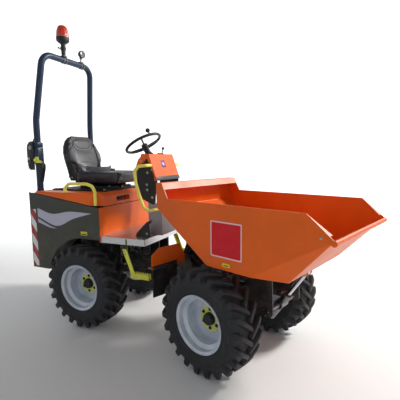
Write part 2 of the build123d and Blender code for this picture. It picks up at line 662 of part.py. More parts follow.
def steering_wheel():
    """Grip, three spokes, hub, shaft and a spinner knob."""
    lean = radians(STEERING_LEAN)
    up = Vector(-sin(lean), 0, cos(lean))
    centre = Vector(STEERING_CENTRE[0], 0, STEERING_CENTRE[1])
    face = Plane(origin=centre, z_dir=up, x_dir=(0, 1, 0))
    hub_radius, hub_length, hub_drop = STEERING_HUB
    hub = centre - up * hub_drop
    wheel = bar(hub - up * hub_length * 0.4, hub + up * hub_length * 0.6, hub_radius)
    wheel += bar(hub, Vector(*along_column(SHAFT_END)), SHAFT_RADIUS)

    def across(angle, reach):
        """A way in the wheel's plane."""
        return (face.x_dir * cos(radians(angle)) + face.y_dir * sin(radians(angle))) * reach

    for angle in SPOKES:
        root = hub + across(angle, hub_radius / 2)
        wheel += bar(root, centre + across(angle, STEERING_RADIUS), SPOKE_RADIUS)
    ball, height, stem = KNOB
    knob = centre + across(KNOB_AT, STEERING_RADIUS)
    wheel += bar(knob, knob + up * height, stem)
    wheel += Solid.make_sphere(ball, Plane(origin=knob + up * height), angle1=-90, angle2=90)
    return wheel + Solid.make_torus(STEERING_RADIUS, STEERING_GRIP, face)


def dash_rail():
    """Left hand rail round the console, from the hood down to the post."""
    run = [(x, DASH_RAIL_Y, z) for x, z in DASH_RAIL_TOP + DASH_RAIL_LOW]
    start = (run[0][0], HOOD_HALF, run[0][2])
    end = (run[-1][0], POST_HALF, run[-1][2])
    return bent_tube([start, *run, end], RAIL_TUBE_RADIUS, DASH_RAIL_BENDS)


def pedals():
    """Drive and brake pedals: a triangular side plate with a leaning tread on each."""
    rear, front = PEDAL_FOOT
    solids = []
    for side in (-1, 1):
        low = side * PEDAL_Y - PEDAL_HALF
        top = (front - 12, FLOOR_Z + PEDAL_HEIGHT)
        foot = prism([(rear, FLOOR_Z), (front, FLOOR_Z), top], "y", low, low + PEDAL_SHEET)
        tread = [
            (rear - 15, FLOOR_Z + 6), (rear - 8, FLOOR_Z), (top[0] + 2, top[1] + 3), (top[0] - 5, top[1] + 9),
        ]
        solids.append(foot + prism(tread, "y", low, low + 2 * PEDAL_HALF))
    return solids


def roll_bar_posts():
    """Lower posts with hinge ears behind their heads and a gusset ahead."""
    x, y = POST_AT
    fold_x, fold_z = BAR_FOLD
    head = BAR_SPLIT_Z - BAR_SPLIT_GAP
    reach, height, thick = FOLD_GUSSET
    post = bar((x, y, RAIL_TOP_Z), (x, y, head), BAR_RADIUS)
    for low in (y - BAR_RADIUS - FOLD_PLATE + 6, y + BAR_RADIUS - 6):
        outline = [
            (x, FOLD_EAR_FOOT_Z), (x - 20, FOLD_EAR_FOOT_Z), (fold_x - 14, fold_z - 30),
            (fold_x, fold_z), (x, head),
        ]
        ear = prism(outline, "y", low, low + FOLD_PLATE)
        post += ear + disc("y", BAR_FOLD, FOLD_EAR_RADIUS, low, low + FOLD_PLATE)
    front = x + BAR_RADIUS - 4
    gusset = [
        (front, head - height), (front + reach, head - 50), (front + reach, head - 22),
        (front + reach - 14, head), (front, head),
    ]
    post += prism(gusset, "y", y - thick, y + thick)
    post += disc("y", BAR_FOLD, FOLD_PIN_RADIUS, y - BAR_RADIUS - 12, y + BAR_RADIUS + 12)
    return both_sides(post)


def roll_bar_hoop():
    """Folding hoop with a hinge lug behind each leg."""
    x, y = POST_AT
    fold_x, fold_z = BAR_FOLD
    radius, width, height = FOLD_LUG
    points = [
        (x, y, BAR_SPLIT_Z), (x, y, BAR_ELBOW_Z), (BAR_TOP_X, BAR_TOP_HALF, BAR_TOP_Z),
        (BAR_TOP_X, -BAR_TOP_HALF, BAR_TOP_Z), (x, -y, BAR_ELBOW_Z), (x, -y, BAR_SPLIT_Z),
    ]
    hoop = bent_tube(points, BAR_RADIUS, [BAR_ELBOW_BEND, BAR_BEND, BAR_BEND, BAR_ELBOW_BEND])
    outline = [
        (x, BAR_SPLIT_Z), (x, BAR_SPLIT_Z + height), (x - 20, BAR_SPLIT_Z + height),
        (fold_x - 12, fold_z + 34), (fold_x - 12, fold_z), (fold_x + 8, BAR_SPLIT_Z),
    ]
    for side in (-1, 1):
        low = side * y - width / 2
        lug = prism(outline, "y", low, low + width) + disc("y", BAR_FOLD, radius, low, low + width)
        hoop += lug - disc("y", BAR_FOLD, FOLD_PIN_RADIUS + RUNNING, low - THROUGH, low + width + THROUGH)
    return hoop


def saddle(y, body):
    """A fitting on the crossbar, with the saddle that seats it cut to the bar."""
    x = BAR_TOP_X
    top = BAR_TOP_Z + BAR_RADIUS + SADDLE_HEIGHT
    xs, ys = (x - SADDLE_HALF, x + SADDLE_HALF), (y - SADDLE_HALF, y + SADDLE_HALF)
    body += block(xs, ys, (BAR_TOP_Z + 12, top))
    return body - disc("y", (x, BAR_TOP_Z), BAR_RADIUS + FIT, y - 60, y + 60)


def beacon():
    """Beacon on a stem: base ring and a tapered lens with a rounded crown."""
    centre = (BAR_TOP_X, BEACON_Y)
    stem, base_z = BEACON_STEM
    base, base_height = BEACON_BASE
    low_radius, high_radius, height = BEACON_LENS
    lens = Solid.make_cone(low_radius, high_radius, height, Plane(origin=(*centre, base_z + base_height)))
    lens = lens.fillet(18, lens.edges().sort_by(Axis.Z)[-1:])
    unit = saddle(BEACON_Y, disc("z", centre, stem, BAR_TOP_Z, base_z))
    return unit + disc("z", centre, base, base_z, base_z + base_height) + lens


def work_lamp():
    """Small lamp on its saddle on the crossbar."""
    xs, ys, zs = LAMP_BODY
    stem = disc("z", (BAR_TOP_X, LAMP_Y), 8, BAR_TOP_Z, BAR_TOP_Z + zs[0])
    body = rounded_block((BAR_TOP_X + xs[0], BAR_TOP_X + xs[1]), (LAMP_Y + ys[0], LAMP_Y + ys[1]),
                         (BAR_TOP_Z + zs[0], BAR_TOP_Z + zs[1]), 14)
    return saddle(LAMP_Y, stem) + body


# ---------------------------------------------------------------- engine cover and seat
def cover_form(inset):
    """The lid's outer form moved inward by the inset; its lower edge follows the side panels."""
    rear, front, half = COVER_REAR_X + inset, BODY_FRONT_X - inset, COVER_HALF - inset
    top = COVER_TOP_Z - inset
    brow = COVER_BROW - inset * (2 - sqrt(2))
    corner = COVER_CORNER - inset * (2 - sqrt(2))
    low = inset * 4  # the inner form is cut clear through the open underside
    side = [(rear, panel_top(rear) + SEAM - low), (front, panel_top(front) + SEAM - low),
            (front, top - brow), (front - brow, top), (rear, top)]
    form = prism(side, "y", -half, half)
    over = half + THROUGH
    for s in (-1, 1):
        form -= prism([(front - corner - THROUGH, s * over), (front + THROUGH, s * over),
                       (front + THROUGH, s * (half - corner - THROUGH))], "z", 900, 1300)
    return form


def engine_cover():
    """Lid over the engine: a folded shell with chamfered front corners, a hand recess and hinge ears."""
    lid = cover_form(0) - cover_form(SKIN)
    (y0, y1), (z0, z1) = RECESS
    back, wall = BODY_FRONT_X - RECESS_DEPTH, 3
    lid += rounded_block((back - wall, BODY_FRONT_X - wall), (y0 - wall, y1 + wall), (z0 - wall, z1 + wall),
                         RECESS_CORNER + wall)
    lid -= rounded_block((back, BODY_FRONT_X + THROUGH), (y0, y1), (z0, z1), RECESS_CORNER)
    ear_radius, ear_width = COVER_EAR
    hinge_x, hinge_z = COVER_HINGE
    for side in (-1, 1):
        y = side * COVER_HINGE_Y + COVER_LUG[1] + 2
        lid -= block((COVER_REAR_X - THROUGH, COVER_REAR_X + 12), (y - 22, y - 1), (1100, 1300))
        ear = block((hinge_x, COVER_REAR_X + 4), (y, y + ear_width), (hinge_z - 6, hinge_z + 6))
        ear += disc("y", COVER_HINGE, ear_radius, y, y + ear_width)
        lid += ear - disc("y", COVER_HINGE, COVER_PIN_RADIUS + RUNNING, y - THROUGH, y + ear_width + THROUGH)
    return lid


def cover_rail():
    """Left grab rail on the engine cover, bent down in front of the chamfered corner."""
    y = COVER_RAIL_Y
    stand = RAIL_TUBE_RADIUS + COVER_RAIL_STAND
    facet_x = BODY_FRONT_X - COVER_CORNER + COVER_HALF - y
    x = facet_x + stand * sqrt(2)
    high, bend, low = COVER_RAIL_NOSE_Z
    rear = [(a, y, z) for a, z in COVER_RAIL]
    points = [(rear[0][0], y, COVER_TOP_Z), *rear, (x - 30, y, high), (x, y, bend), (x, y, low)]
    rail = bent_tube(points, RAIL_TUBE_RADIUS, [24, 40, 60, 40, 50])
    reach = stand / sqrt(2)
    return rail + bar((x, y, low + 14), (x - reach, y - reach, low + 14), COVER_RAIL_STUB)


def bellows(xs, ys, low, high):
    """A folded rubber skirt: two zigzag outlines crossed, so that the folds are mitred at the corners."""
    pitch = (high - low) / BELLOWS_FOLDS

    def zigzag(ends):
        left = [(ends[0], low)]
        for fold in range(BELLOWS_FOLDS):
            z = low + fold * pitch
            left += [(ends[0] + BELLOWS_FOLD, z + pitch / 2), (ends[0], z + pitch)]
        return left + [(ends[0] + ends[1] - a, z) for a, z in reversed(left)]

    return prism(zigzag(xs), "y", *ys) & prism(zigzag(ys), "x", *xs)


def seat_base():
    """Seat mounting: a deck on the cover, a suspension box with its bellows and the seat pan."""
    deck_xs, deck_ys, deck = SEAT_DECK
    box_xs, box_ys, box_height = SEAT_BOX
    pan_xs, pan_ys, pan = SEAT_PAN
    low = COVER_TOP_Z + deck
    base = block(deck_xs, deck_ys, (COVER_TOP_Z, low)) + block(box_xs, box_ys, (low, low + box_height))
    base += bellows(*BELLOWS, low + box_height, SEAT_PAN_Z - pan)
    return base + block(pan_xs, pan_ys, (SEAT_PAN_Z - pan, SEAT_PAN_Z))


def seat_cushion():
    """Cushion block."""
    low = SEAT_PAN_Z + FIT
    outline = [(SEAT_REAR_X, low), (-520, low), (-500, 1345), (-505, 1395), (-560, 1418), (SEAT_REAR_X, 1402)]
    return prism(outline, "y", -240, 240)


def seat_back():
    """Backrest block, leaning back."""
    low, front = SEAT_PAN_Z + FIT, SEAT_REAR_X - FIT
    outline = [
        (front, low), (front, 1420), (-1100, 1735), (-1130, 1765), (-1165, 1765), (-1185, 1740), (-1055, low),
    ]
    solid = prism(outline, "y", -250, 250)
    trim = [(-251, 1600), (-140, 1790), (-251, 1790)]
    for side in (-1, 1):
        solid -= prism([(side * a, b) for a, b in trim], "x", -1300, -900)
    return solid


# ---------------------------------------------------------------- pivot yoke and steering ram
def centre_yoke():
    """Block on the vertical pin, with the roll spindle ahead and the steering arm on its left."""
    low, high = PIVOT_LOW_Z + LUG_THICKNESS + PIVOT_GAP, PIVOT_HIGH_Z - LUG_THICKNESS - PIVOT_GAP
    yoke = block((0, YOKE_FRONT_X), (-YOKE_HALF_WIDTH, YOKE_HALF_WIDTH), (low, high))
    yoke += disc("z", (0, 0), YOKE_HALF_WIDTH, low, high)
    yoke += disc("z", (0, 0), PIN_RADIUS, PIVOT_LOW_Z - PIN_HEAD, PIVOT_HIGH_Z + 1)
    yoke += disc("z", (0, 0), PIN_HEAD_RADIUS, PIVOT_HIGH_Z + 1, PIVOT_HIGH_Z + PIN_HEAD)
    tip = CHASSIS_REAR_X + BEARING_LENGTH + SIDE_GAP
    nut_stand, nut_length = SPINDLE_NUT
    yoke += disc("x", (0, ROLL_Z), SPINDLE_RADIUS, YOKE_FRONT_X, tip)
    yoke += disc("x", (0, ROLL_Z), SPINDLE_RADIUS + nut_stand, tip, tip + nut_length)
    x, y = STEER_ARM_AT
    gap = STEER_EYE_HALF + STEER_ARM_GAP
    for z in (STEER_RAM_Z - gap - STEER_ARM_PLATE, STEER_RAM_Z + gap):
        cheek = prism([(x - STEER_ARM_ROOT, 0), (YOKE_FRONT_X, 0), (x + STEER_ARM_RADIUS, y),
                       (x - STEER_ARM_RADIUS, y)], "z", z, z + STEER_ARM_PLATE)
        yoke += cheek + disc("z", STEER_ARM_AT, STEER_ARM_RADIUS, z, z + STEER_ARM_PLATE)
        outer = z + STEER_ARM_PLATE if z > STEER_RAM_Z else z
        head = sorted((outer, outer + (6 if z > STEER_RAM_Z else -6)))
        yoke += disc("z", STEER_ARM_AT, STEER_PIN_RADIUS + 4, *head)
    return yoke


def steer_points():
    """Anchor and rod eye of the steering ram as it stands."""
    turn = radians(STEER_AT_REST)
    x, y = STEER_ARM_AT
    eye = Vector(x * cos(turn) - y * sin(turn), x * sin(turn) + y * cos(turn), STEER_RAM_Z)
    return Vector(*STEER_ANCHOR_AT, STEER_RAM_Z), eye


def steer_ram_barrel():
    """Barrel of the steering ram, with its foot and pin in the chassis ears."""
    anchor, eye = steer_points()
    way = (eye - anchor).normalized()
    foot = Vector(0, 0, STEER_FOOT_HALF)
    pin = Vector(0, 0, STEER_EAR_HALF + STEER_EAR + 4)
    barrel = bar(anchor + way * 20, anchor + way * STEER_BARREL_LENGTH, STEER_BARREL_RADIUS)
    barrel += bar(anchor - foot, anchor + foot, STEER_EYE_RADIUS)
    barrel += bar(anchor - pin, anchor + pin, STEER_PIN_RADIUS)
    bore_end = anchor + way * (STEER_BARREL_LENGTH + THROUGH)
    return barrel - bar(anchor + way * 40, bore_end, STEER_ROD_RADIUS + RUNNING)


def steer_ram_rod():
    """Rod of the steering ram, with its eye between the arm's cheeks."""
    anchor, eye = steer_points()
    way = (eye - anchor).normalized()
    half, cut = Vector(0, 0, STEER_EYE_HALF), Vector(0, 0, STEER_EYE_HALF + THROUGH)
    rod = bar(anchor + way * (STEER_BARREL_LENGTH - STEER_ROD_INSIDE), eye, STEER_ROD_RADIUS)
    rod += bar(eye - half, eye + half, STEER_EYE_RADIUS)
    return rod - bar(eye - cut, eye + cut, STEER_PIN_RADIUS)


# ---------------------------------------------------------------- front half
def front_chassis():
    """Side plates that end in the skip's head, joined by cross plates and the roll bearing."""
    px, pz = SKIP_PIVOT
    tx, tz = TRUNNION
    inner = SIDE_PLATE_Y - SIDE_PLATE
    guard = [(GUARD_X + 110, CHASSIS_TOP_Z), (GUARD_X + 30, 720), (GUARD_X - 45, 720)]
    outline = [
        (CHASSIS_REAR_X, CHASSIS_LOW_Z), (tx - HEAD_FOOT_RADIUS - 60, CHASSIS_LOW_Z),
        (tx, tz - HEAD_FOOT_RADIUS), (tx + HEAD_FOOT_RADIUS, tz), (px + HEAD_RADIUS, pz), (px, pz + HEAD_RADIUS),
        (px - 30, pz + HEAD_RADIUS - 2), (px - 190, CHASSIS_TOP_Z + 40), *guard,
        (GUARD_X - 60, CHASSIS_TOP_Z), (CHASSIS_REAR_X, CHASSIS_TOP_Z - 30),
    ]
    plate = prism(outline, "y", inner, SIDE_PLATE_Y, [*guard, outline[7]], CHASSIS_CORNER)
    plate += disc("y", SKIP_PIVOT, HEAD_RADIUS, inner, SIDE_PLATE_Y)
    plate += disc("y", TRUNNION, HEAD_FOOT_RADIUS, inner, SIDE_PLATE_Y)
    plate -= disc("y", TRUNNION, TRUNNION_RADIUS + RUNNING, inner - THROUGH, SIDE_PLATE_Y + THROUGH)
    plate += disc("y", SKIP_PIVOT, SKIP_PIN_RADIUS, SIDE_PLATE_Y - 50, SIDE_PLATE_Y + 10)
    frame = plate + mirrored(plate)
    cross = [
        ((CHASSIS_REAR_X, CHASSIS_REAR_X + 20), (CHASSIS_LOW_Z, CHASSIS_TOP_Z - 30)),
        ((FRONT_AXLE_X - 90, FRONT_AXLE_X + 90), (CHASSIS_LOW_Z, CHASSIS_LOW_Z + 16)),
        ((860, 876), (CHASSIS_LOW_Z, CHASSIS_TOP_Z + 20)),
    ]
    for xs, zs in cross:
        frame += block(xs, (-inner, inner), zs)
    tip = CHASSIS_REAR_X + BEARING_LENGTH
    frame += disc("x", (0, ROLL_Z), BEARING_RADIUS, CHASSIS_REAR_X, tip)
    return frame - disc("x", (0, ROLL_Z), SPINDLE_RADIUS + RUNNING, CHASSIS_REAR_X - THROUGH, tip + THROUGH)


def mudguards():
    """Upright guard behind each front tyre."""
    y0 = SIDE_PLATE_Y
    outline = [
        (y0, GUARD_LOW_Z), (GUARD_HALF, GUARD_LOW_Z), (GUARD_HALF, GUARD_TOP_Z - 46),
        (GUARD_HALF - 76, GUARD_TOP_Z), (y0 + 60, GUARD_TOP_Z - 4), (y0, GUARD_LOW_Z + 52),
    ]
    return both_sides(prism(outline, "x", GUARD_X - GUARD_SHEET, GUARD_X, outline[1:5], 12))


def mud_flaps():
    """Rubber flap below each guard."""
    outline = [
        (SIDE_PLATE_Y + 100, FLAP_LOW_Z), (GUARD_HALF - 3, FLAP_LOW_Z + 6),
        (GUARD_HALF - 3, GUARD_LOW_Z + 32), (SIDE_PLATE_Y + 100, GUARD_LOW_Z + 32),
    ]
    return both_sides(prism(outline, "x", GUARD_X, GUARD_X + FLAP_SHEET))


def ram_frame():
    """Trunnion, rod eye and unit vector of the tip ram, on the centre plane."""
    low = Vector(TRUNNION[0], 0, TRUNNION[1])
    eye = Vector(RAM_EYE[0], 0, RAM_EYE[1])
    return low, eye, (eye - low).normalized()


def tip_ram_barrel():
    """Barrel of the tip ram, with the trunnion that it swings on."""
    low, _, way = ram_frame()
    collar, collar_half = RAM_COLLAR
    barrel = bar(low - way * RAM_BELOW, low + way * RAM_ABOVE, RAM_BARREL_RADIUS)
    barrel += disc("y", TRUNNION, TRUNNION_RADIUS, -SIDE_PLATE_Y - 4, SIDE_PLATE_Y + 4)
    barrel += disc("y", TRUNNION, collar, -collar_half, collar_half)
    bottom, mouth = low - way * (RAM_BELOW - RAM_WALL), low + way * (RAM_ABOVE + THROUGH)
    return barrel - bar(bottom, mouth, RAM_ROD_RADIUS + RUNNING)


def tip_ram_rod():
    """Rod of the tip ram, with its eye between the skip's cheeks."""
    low, eye, way = ram_frame()
    rod = bar(low + way * (RAM_ABOVE - RAM_ROD_INSIDE), eye, RAM_ROD_RADIUS)
    rod += disc("y", RAM_EYE, RAM_EYE_RADIUS, -RAM_EYE_HALF, RAM_EYE_HALF)
    return rod - disc("y", RAM_EYE, RAM_EYE_BORE, -RAM_EYE_HALF - THROUGH, RAM_EYE_HALF + THROUGH)


def skip_form(inset):
    """The skip's outer form: a block trimmed by its sheets' planes, all moved inward, with bent edges."""
    bx, by = SKIP_BOTTOM_FRONT
    lx, lz = SKIP_LIP
    # each sheet: a point on it, and two more points in the plane
    slope = ((SKIP_REAR_X, 0, SKIP_SHOULDER_Z), (SKIP_REAR_X, 1, SKIP_SHOULDER_Z),
             (SKIP_BOTTOM_REAR_X, 0, SKIP_BOTTOM_Z))
    front = ((lx, 0, lz), (lx, 1, lz), (bx, 0, SKIP_BOTTOM_Z))
    facet = ((SKIP_SIDE_FOOT_X, SKIP_HALF, SKIP_BOTTOM_Z), (bx, by, SKIP_BOTTOM_Z), (lx, SKIP_HALF, lz))
    inside = Vector((SKIP_BOTTOM_REAR_X + bx) / 2, 0, SKIP_RIM_Z - 100)
    top = SKIP_TOP_Z + 100
    form = block((SKIP_REAR_X + inset, lx + 300), (-SKIP_HALF + inset, SKIP_HALF - inset),
                 (SKIP_BOTTOM_Z + inset, top))
    sheets = [slope, front, facet, tuple((x, -y, z) for x, y, z in facet)]
    for a, b, c in sheets:
        a, b, c = Vector(*a), Vector(*b), Vector(*c)
        normal = (b - a).cross(c - a).normalized()
        if (inside - a).dot(normal) > 0:
            normal = -normal
        form = split(form, bisect_by=Plane(origin=a - normal * inset, z_dir=normal), keep=Keep.BOTTOM)
    bends = [edge for edge in form.edges() if edge.center().Z < top - 1 and edge.center().X < lx]
    return form.fillet(SKIP_BEND - inset, bends)


def skip():
    """Open skip: folded sheet with a raised back, a rolled lip and hinge ears underneath."""
    shell = skip_form(0) - skip_form(SKIP_SHEET)
    lip_x, lip_z = SKIP_LIP
    over_x, over_z = lip_x + 400, SKIP_TOP_Z + 200
    back_x = SKIP_REAR_X - 50
    rim = [
        (SKIP_FLANGE_X, SKIP_TOP_Z), (SKIP_RIM_REAR_X, SKIP_RIM_Z), (SKIP_RIM_FRONT_X, SKIP_RIM_Z), SKIP_LIP,
        (over_x, lip_z), (over_x, over_z), (back_x, over_z), (back_x, SKIP_TOP_Z),
    ]
    shell -= prism(rim, "y", -SKIP_HALF - THROUGH, SKIP_HALF + THROUGH)
    sheet = SKIP_SHEET
    half = SKIP_HALF - sheet
    # the back sheet is folded forward at the top and down along the cheeks' edges
    fold_x = SKIP_FLANGE_X + FLANGE_DROP * (SKIP_RIM_REAR_X - SKIP_FLANGE_X)
    fold_z = SKIP_TOP_Z - FLANGE_DROP * (SKIP_TOP_Z - SKIP_RIM_Z)
    flange = [
        (SKIP_REAR_X, SKIP_TOP_Z), (SKIP_FLANGE_X, SKIP_TOP_Z), (fold_x, fold_z), (fold_x - sheet, fold_z - 1),
        (SKIP_FLANGE_X - 3, SKIP_TOP_Z - sheet), (SKIP_REAR_X, SKIP_TOP_Z - sheet),
    ]
    shell += prism(flange, "y", -half, half)
    shell += disc("y", (lip_x - 4, lip_z - 12), LIP_RADIUS, -SKIP_HALF, SKIP_HALF) - skip_form(sheet)
    # a corner plate stiffens each end of the lip; it widens as it comes down the side's front edge
    share, width = LIP_CORNER
    foot_x = SKIP_RIM_FRONT_X + share * (lip_x - SKIP_RIM_FRONT_X)
    foot_z = SKIP_RIM_Z - share * (SKIP_RIM_Z - lip_z)
    px, pz = SKIP_PIVOT
    ex, ez = RAM_EYE
    pad, pad_width, pad_sheet = SKIP_PAD
    for side in (-1, 1):
        y = side * (SKIP_HALF - sheet / 2)
        corner = [(SKIP_RIM_FRONT_X, y, SKIP_RIM_Z), (foot_x, y, foot_z), (foot_x, y - side * width, foot_z)]
        shell += flat_sheet(corner, sheet)
        ys = sorted((side * EAR_Y, side * (EAR_Y - SKIP_EAR)))
        ear = prism([(px - SKIP_EAR_ROOT, SKIP_BOTTOM_Z), (px - 34, pz - 4), (px + 34, pz - 4),
                     (px + SKIP_EAR_ROOT, SKIP_BOTTOM_Z)], "y", *ys)
        ear += disc("y", SKIP_PIVOT, SKIP_EAR_RADIUS, *ys)
        shell += ear - disc("y", SKIP_PIVOT, SKIP_PIN_RADIUS + RUNNING, ys[0] - THROUGH, ys[1] + THROUGH)
        shell += block((px - pad, px + pad), sorted((side * EAR_Y, side * (EAR_Y - pad_width))),
                       (SKIP_BOTTOM_Z - pad_sheet, SKIP_BOTTOM_Z))
        outer = CHEEK_Y + RAM_CHEEK
        ys = sorted((side * CHEEK_Y, side * outer))
        outline = [(ex - 60, SKIP_BOTTOM_Z), (ex - 22, ez), (ex + 22, ez), (ex + 40, SKIP_BOTTOM_Z)]
        cheek = prism(outline, "y", *ys)
        cheek += disc("y", RAM_EYE, RAM_EYE_RADIUS + 4, *ys)
        shell += cheek + disc("y", RAM_EYE, RAM_EYE_BORE + 3, *sorted((side * outer, side * (outer + 10))))
    return shell


# ---------------------------------------------------------------- the assembly
def wheel_nodes(name, x, side):
    """Tyre and rim of one wheel; side is +1 on the left."""
    found = {}
    for part, shape in (("tyre", tyre()), ("rim", rim())):
        if side < 0:
            shape = mirrored(shape)
        found[f"{part}_{name}"] = shape.moved(Location((x, side * TRACK_HALF, TYRE_RADIUS)))
    return found


rear = {
    "rear_chassis": rear_chassis(),
    "tow_hitch": tow_hitch(),
    "rear_axle": axle(REAR_AXLE_X),
    "engine_block": block(*ENGINE),
    "side_panel_left": side_panel(),
    "side_panel_right": mirrored(side_panel()),
    "tail_panel": tail_panel(),
    "seat_box": seat_box(),
    "footplate": footplate(),
    "step_left": step(),
    "step_right": mirrored(step()),
    "console_post": console_post(),
    "console_plates": console_plates(),
    "console_hood": console_hood(),
    "steering_column": steering_column(),
    "steering_wheel": steering_wheel(),
    "dash_rails": both_sides(dash_rail()),
    "pedals": pedals(),
    "roll_bar_posts": roll_bar_posts(),
    "roll_bar_hoop": roll_bar_hoop(),
    "beacon": beacon(),
    "work_lamp": work_lamp(),
    "engine_cover": engine_cover(),
    "cover_rails": both_sides(cover_rail()),
    "seat_base": seat_base(),
    "seat_cushion": seat_cushion(),
    "seat_back": seat_back(),
    "steer_ram_barrel": steer_ram_barrel(),
    "steer_ram_rod": steer_ram_rod(),
    **wheel_nodes("rear_left", REAR_AXLE_X, 1),
    **wheel_nodes("rear_right", REAR_AXLE_X, -1),
}
front = {
    "centre_yoke": centre_yoke(),
    "front_chassis": front_chassis(),
    "front_axle": axle(FRONT_AXLE_X),
    "mudguards": mudguards(),
    "mud_flaps": mud_flaps(),
    "tip_ram_barrel": tip_ram_barrel(),
    "tip_ram_rod": tip_ram_rod(),
    "skip": skip(),
    **wheel_nodes("front_left", FRONT_AXLE_X, 1),
    **wheel_nodes("front_right", FRONT_AXLE_X, -1),
}


def solids_of(shape):
    """The separate solids of a node."""
    shapes = shape if isinstance(shape, list) else [shape]
    return [solid for one in shapes for solid in one.solids()]


machine = {name: solids_of(shape) for name, shape in rear.items()}
for name, shape in front.items():
    machine[name] = [solid.rotate(Axis.Z, STEER_AT_REST) for solid in solids_of(shape)]

whole = Compound(children=[solid for solids in machine.values() for solid in solids]).bounding_box()
SHIFT = Vector(-(whole.min.X + whole.max.X) / 2, -(whole.min.Y + whole.max.Y) / 2, -whole.min.Z)

os.makedirs("parts", exist_ok=True)
for name, solids in machine.items():
    placed = [solid.moved(Location(SHIFT)) for solid in solids]
    export_step(Compound(children=placed), f"parts/{name}.step")
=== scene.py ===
"""Finish of the articulated site dumper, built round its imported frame."""

import itertools
import json
import math

import bmesh
import bpy
from mathutils import Matrix, Vector


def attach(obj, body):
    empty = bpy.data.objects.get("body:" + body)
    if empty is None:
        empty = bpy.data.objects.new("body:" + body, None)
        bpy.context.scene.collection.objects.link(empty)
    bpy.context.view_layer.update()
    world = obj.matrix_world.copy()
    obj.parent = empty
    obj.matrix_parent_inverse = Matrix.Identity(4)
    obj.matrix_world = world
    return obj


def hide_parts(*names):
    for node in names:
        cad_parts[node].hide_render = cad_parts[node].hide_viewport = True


bl_info = {
    "name": "Site Dumper Finish",
    "version": (1, 0, 0),
    "blender": (4, 5, 0),
    "location": "View3D > Sidebar > Dumper",
    "description": "Tyres, seat, paint and fittings of an articulated site dumper",
    "category": "Object",
}

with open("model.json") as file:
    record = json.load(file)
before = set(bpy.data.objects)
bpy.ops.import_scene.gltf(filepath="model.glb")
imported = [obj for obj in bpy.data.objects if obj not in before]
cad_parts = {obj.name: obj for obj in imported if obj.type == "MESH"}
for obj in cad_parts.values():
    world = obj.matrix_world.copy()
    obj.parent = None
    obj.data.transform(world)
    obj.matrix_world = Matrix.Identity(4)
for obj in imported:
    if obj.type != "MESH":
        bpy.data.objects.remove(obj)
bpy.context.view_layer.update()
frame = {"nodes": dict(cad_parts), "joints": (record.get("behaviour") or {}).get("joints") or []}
JOINTS = {joint["name"]: joint for joint in frame["joints"]}
PIVOT = Vector(JOINTS["steer"]["pos_m"])
AHEAD = Vector(JOINTS["axle_roll"]["axis"])

# Two working frames: the rear half's and the front half's, each on the ground below the steering pivot.
REAR = Matrix.Translation((PIVOT.x, PIVOT.y, 0))
FRONT = REAR @ Matrix.Rotation(math.atan2(AHEAD.y, AHEAD.x), 4, "Z")
WHEELS = ("rear_left", "rear_right", "front_left", "front_right")

# Places in the working frames, in metres.
SKIP_WALL = 0.4575
SKIP_HINGE_X, SKIP_HINGE_Z = 1.070, 0.735
RAM_FOOT = (1.072, 0, 0.462)
RAM_EYE = (1.262, 0, 0.738)
PANEL_FACE = 0.468
TAIL = -1.370
COLUMN_TOP = (-0.361, 0, 1.665)
COLUMN_LEAN = math.radians(29.4)
POST_X, POST_Y = -1.330, 0.365
BAR_HINGE_X, BAR_HINGE_Z = -1.384, 1.637
CROSSBAR_X, CROSSBAR_Z = -1.250, 2.515
CLAMP_RADIUS = 0.0335


# ------------------------------------------------------------------ materials
class Value:
    """A number or vector that varies over a surface. Arithmetic on it adds the nodes."""

    def __init__(self, finish, socket):
        self.finish = finish
        self.socket = socket

    def _maths(self, operation, first, second=0.0):
        node = self.finish.node("ShaderNodeMath", {"operation": operation}, {0: first, 1: second})
        return Value(self.finish, node.outputs[0])

    def __add__(self, other):
        return self._maths("ADD", self, other)

    def __radd__(self, other):
        return self._maths("ADD", other, self)

    def __sub__(self, other):
        return self._maths("SUBTRACT", self, other)

    def __rsub__(self, other):
        return self._maths("SUBTRACT", other, self)

    def __mul__(self, other):
        return self._maths("MULTIPLY", self, other)

    def __rmul__(self, other):
        return self._maths("MULTIPLY", other, self)

    def __truediv__(self, other):
        return self._maths("DIVIDE", self, other)

    def __rtruediv__(self, other):
        return self._maths("DIVIDE", other, self)

    def __pow__(self, other):
        return self._maths("POWER", self, other)

    def __rpow__(self, other):
        return self._maths("POWER", other, self)

    def __gt__(self, other):
        return self._maths("GREATER_THAN", self, other)

    def __lt__(self, other):
        return self._maths("LESS_THAN", self, other)

    def both(self, other):
        return self._maths("MINIMUM", self, other)

    def either(self, other):
        return self._maths("MAXIMUM", self, other)

    def size(self):
        return self._maths("ABSOLUTE", self)

    def wave(self):
        return self._maths("SINE", self)

    def remainder(self, step):
        return self._maths("FLOORED_MODULO", self, step)

    def ramp(self, low, high, out_low=0.0, out_high=1.0):
        """Smooth step from out_low to out_high as this goes from low to high."""
        settings = {"interpolation_type": "SMOOTHSTEP"}
        values = {"Value": self, "From Min": low, "From Max": high, "To Min": out_low, "To Max": out_high}
        return Value(self.finish, self.finish.node("ShaderNodeMapRange", settings, values).outputs[0])


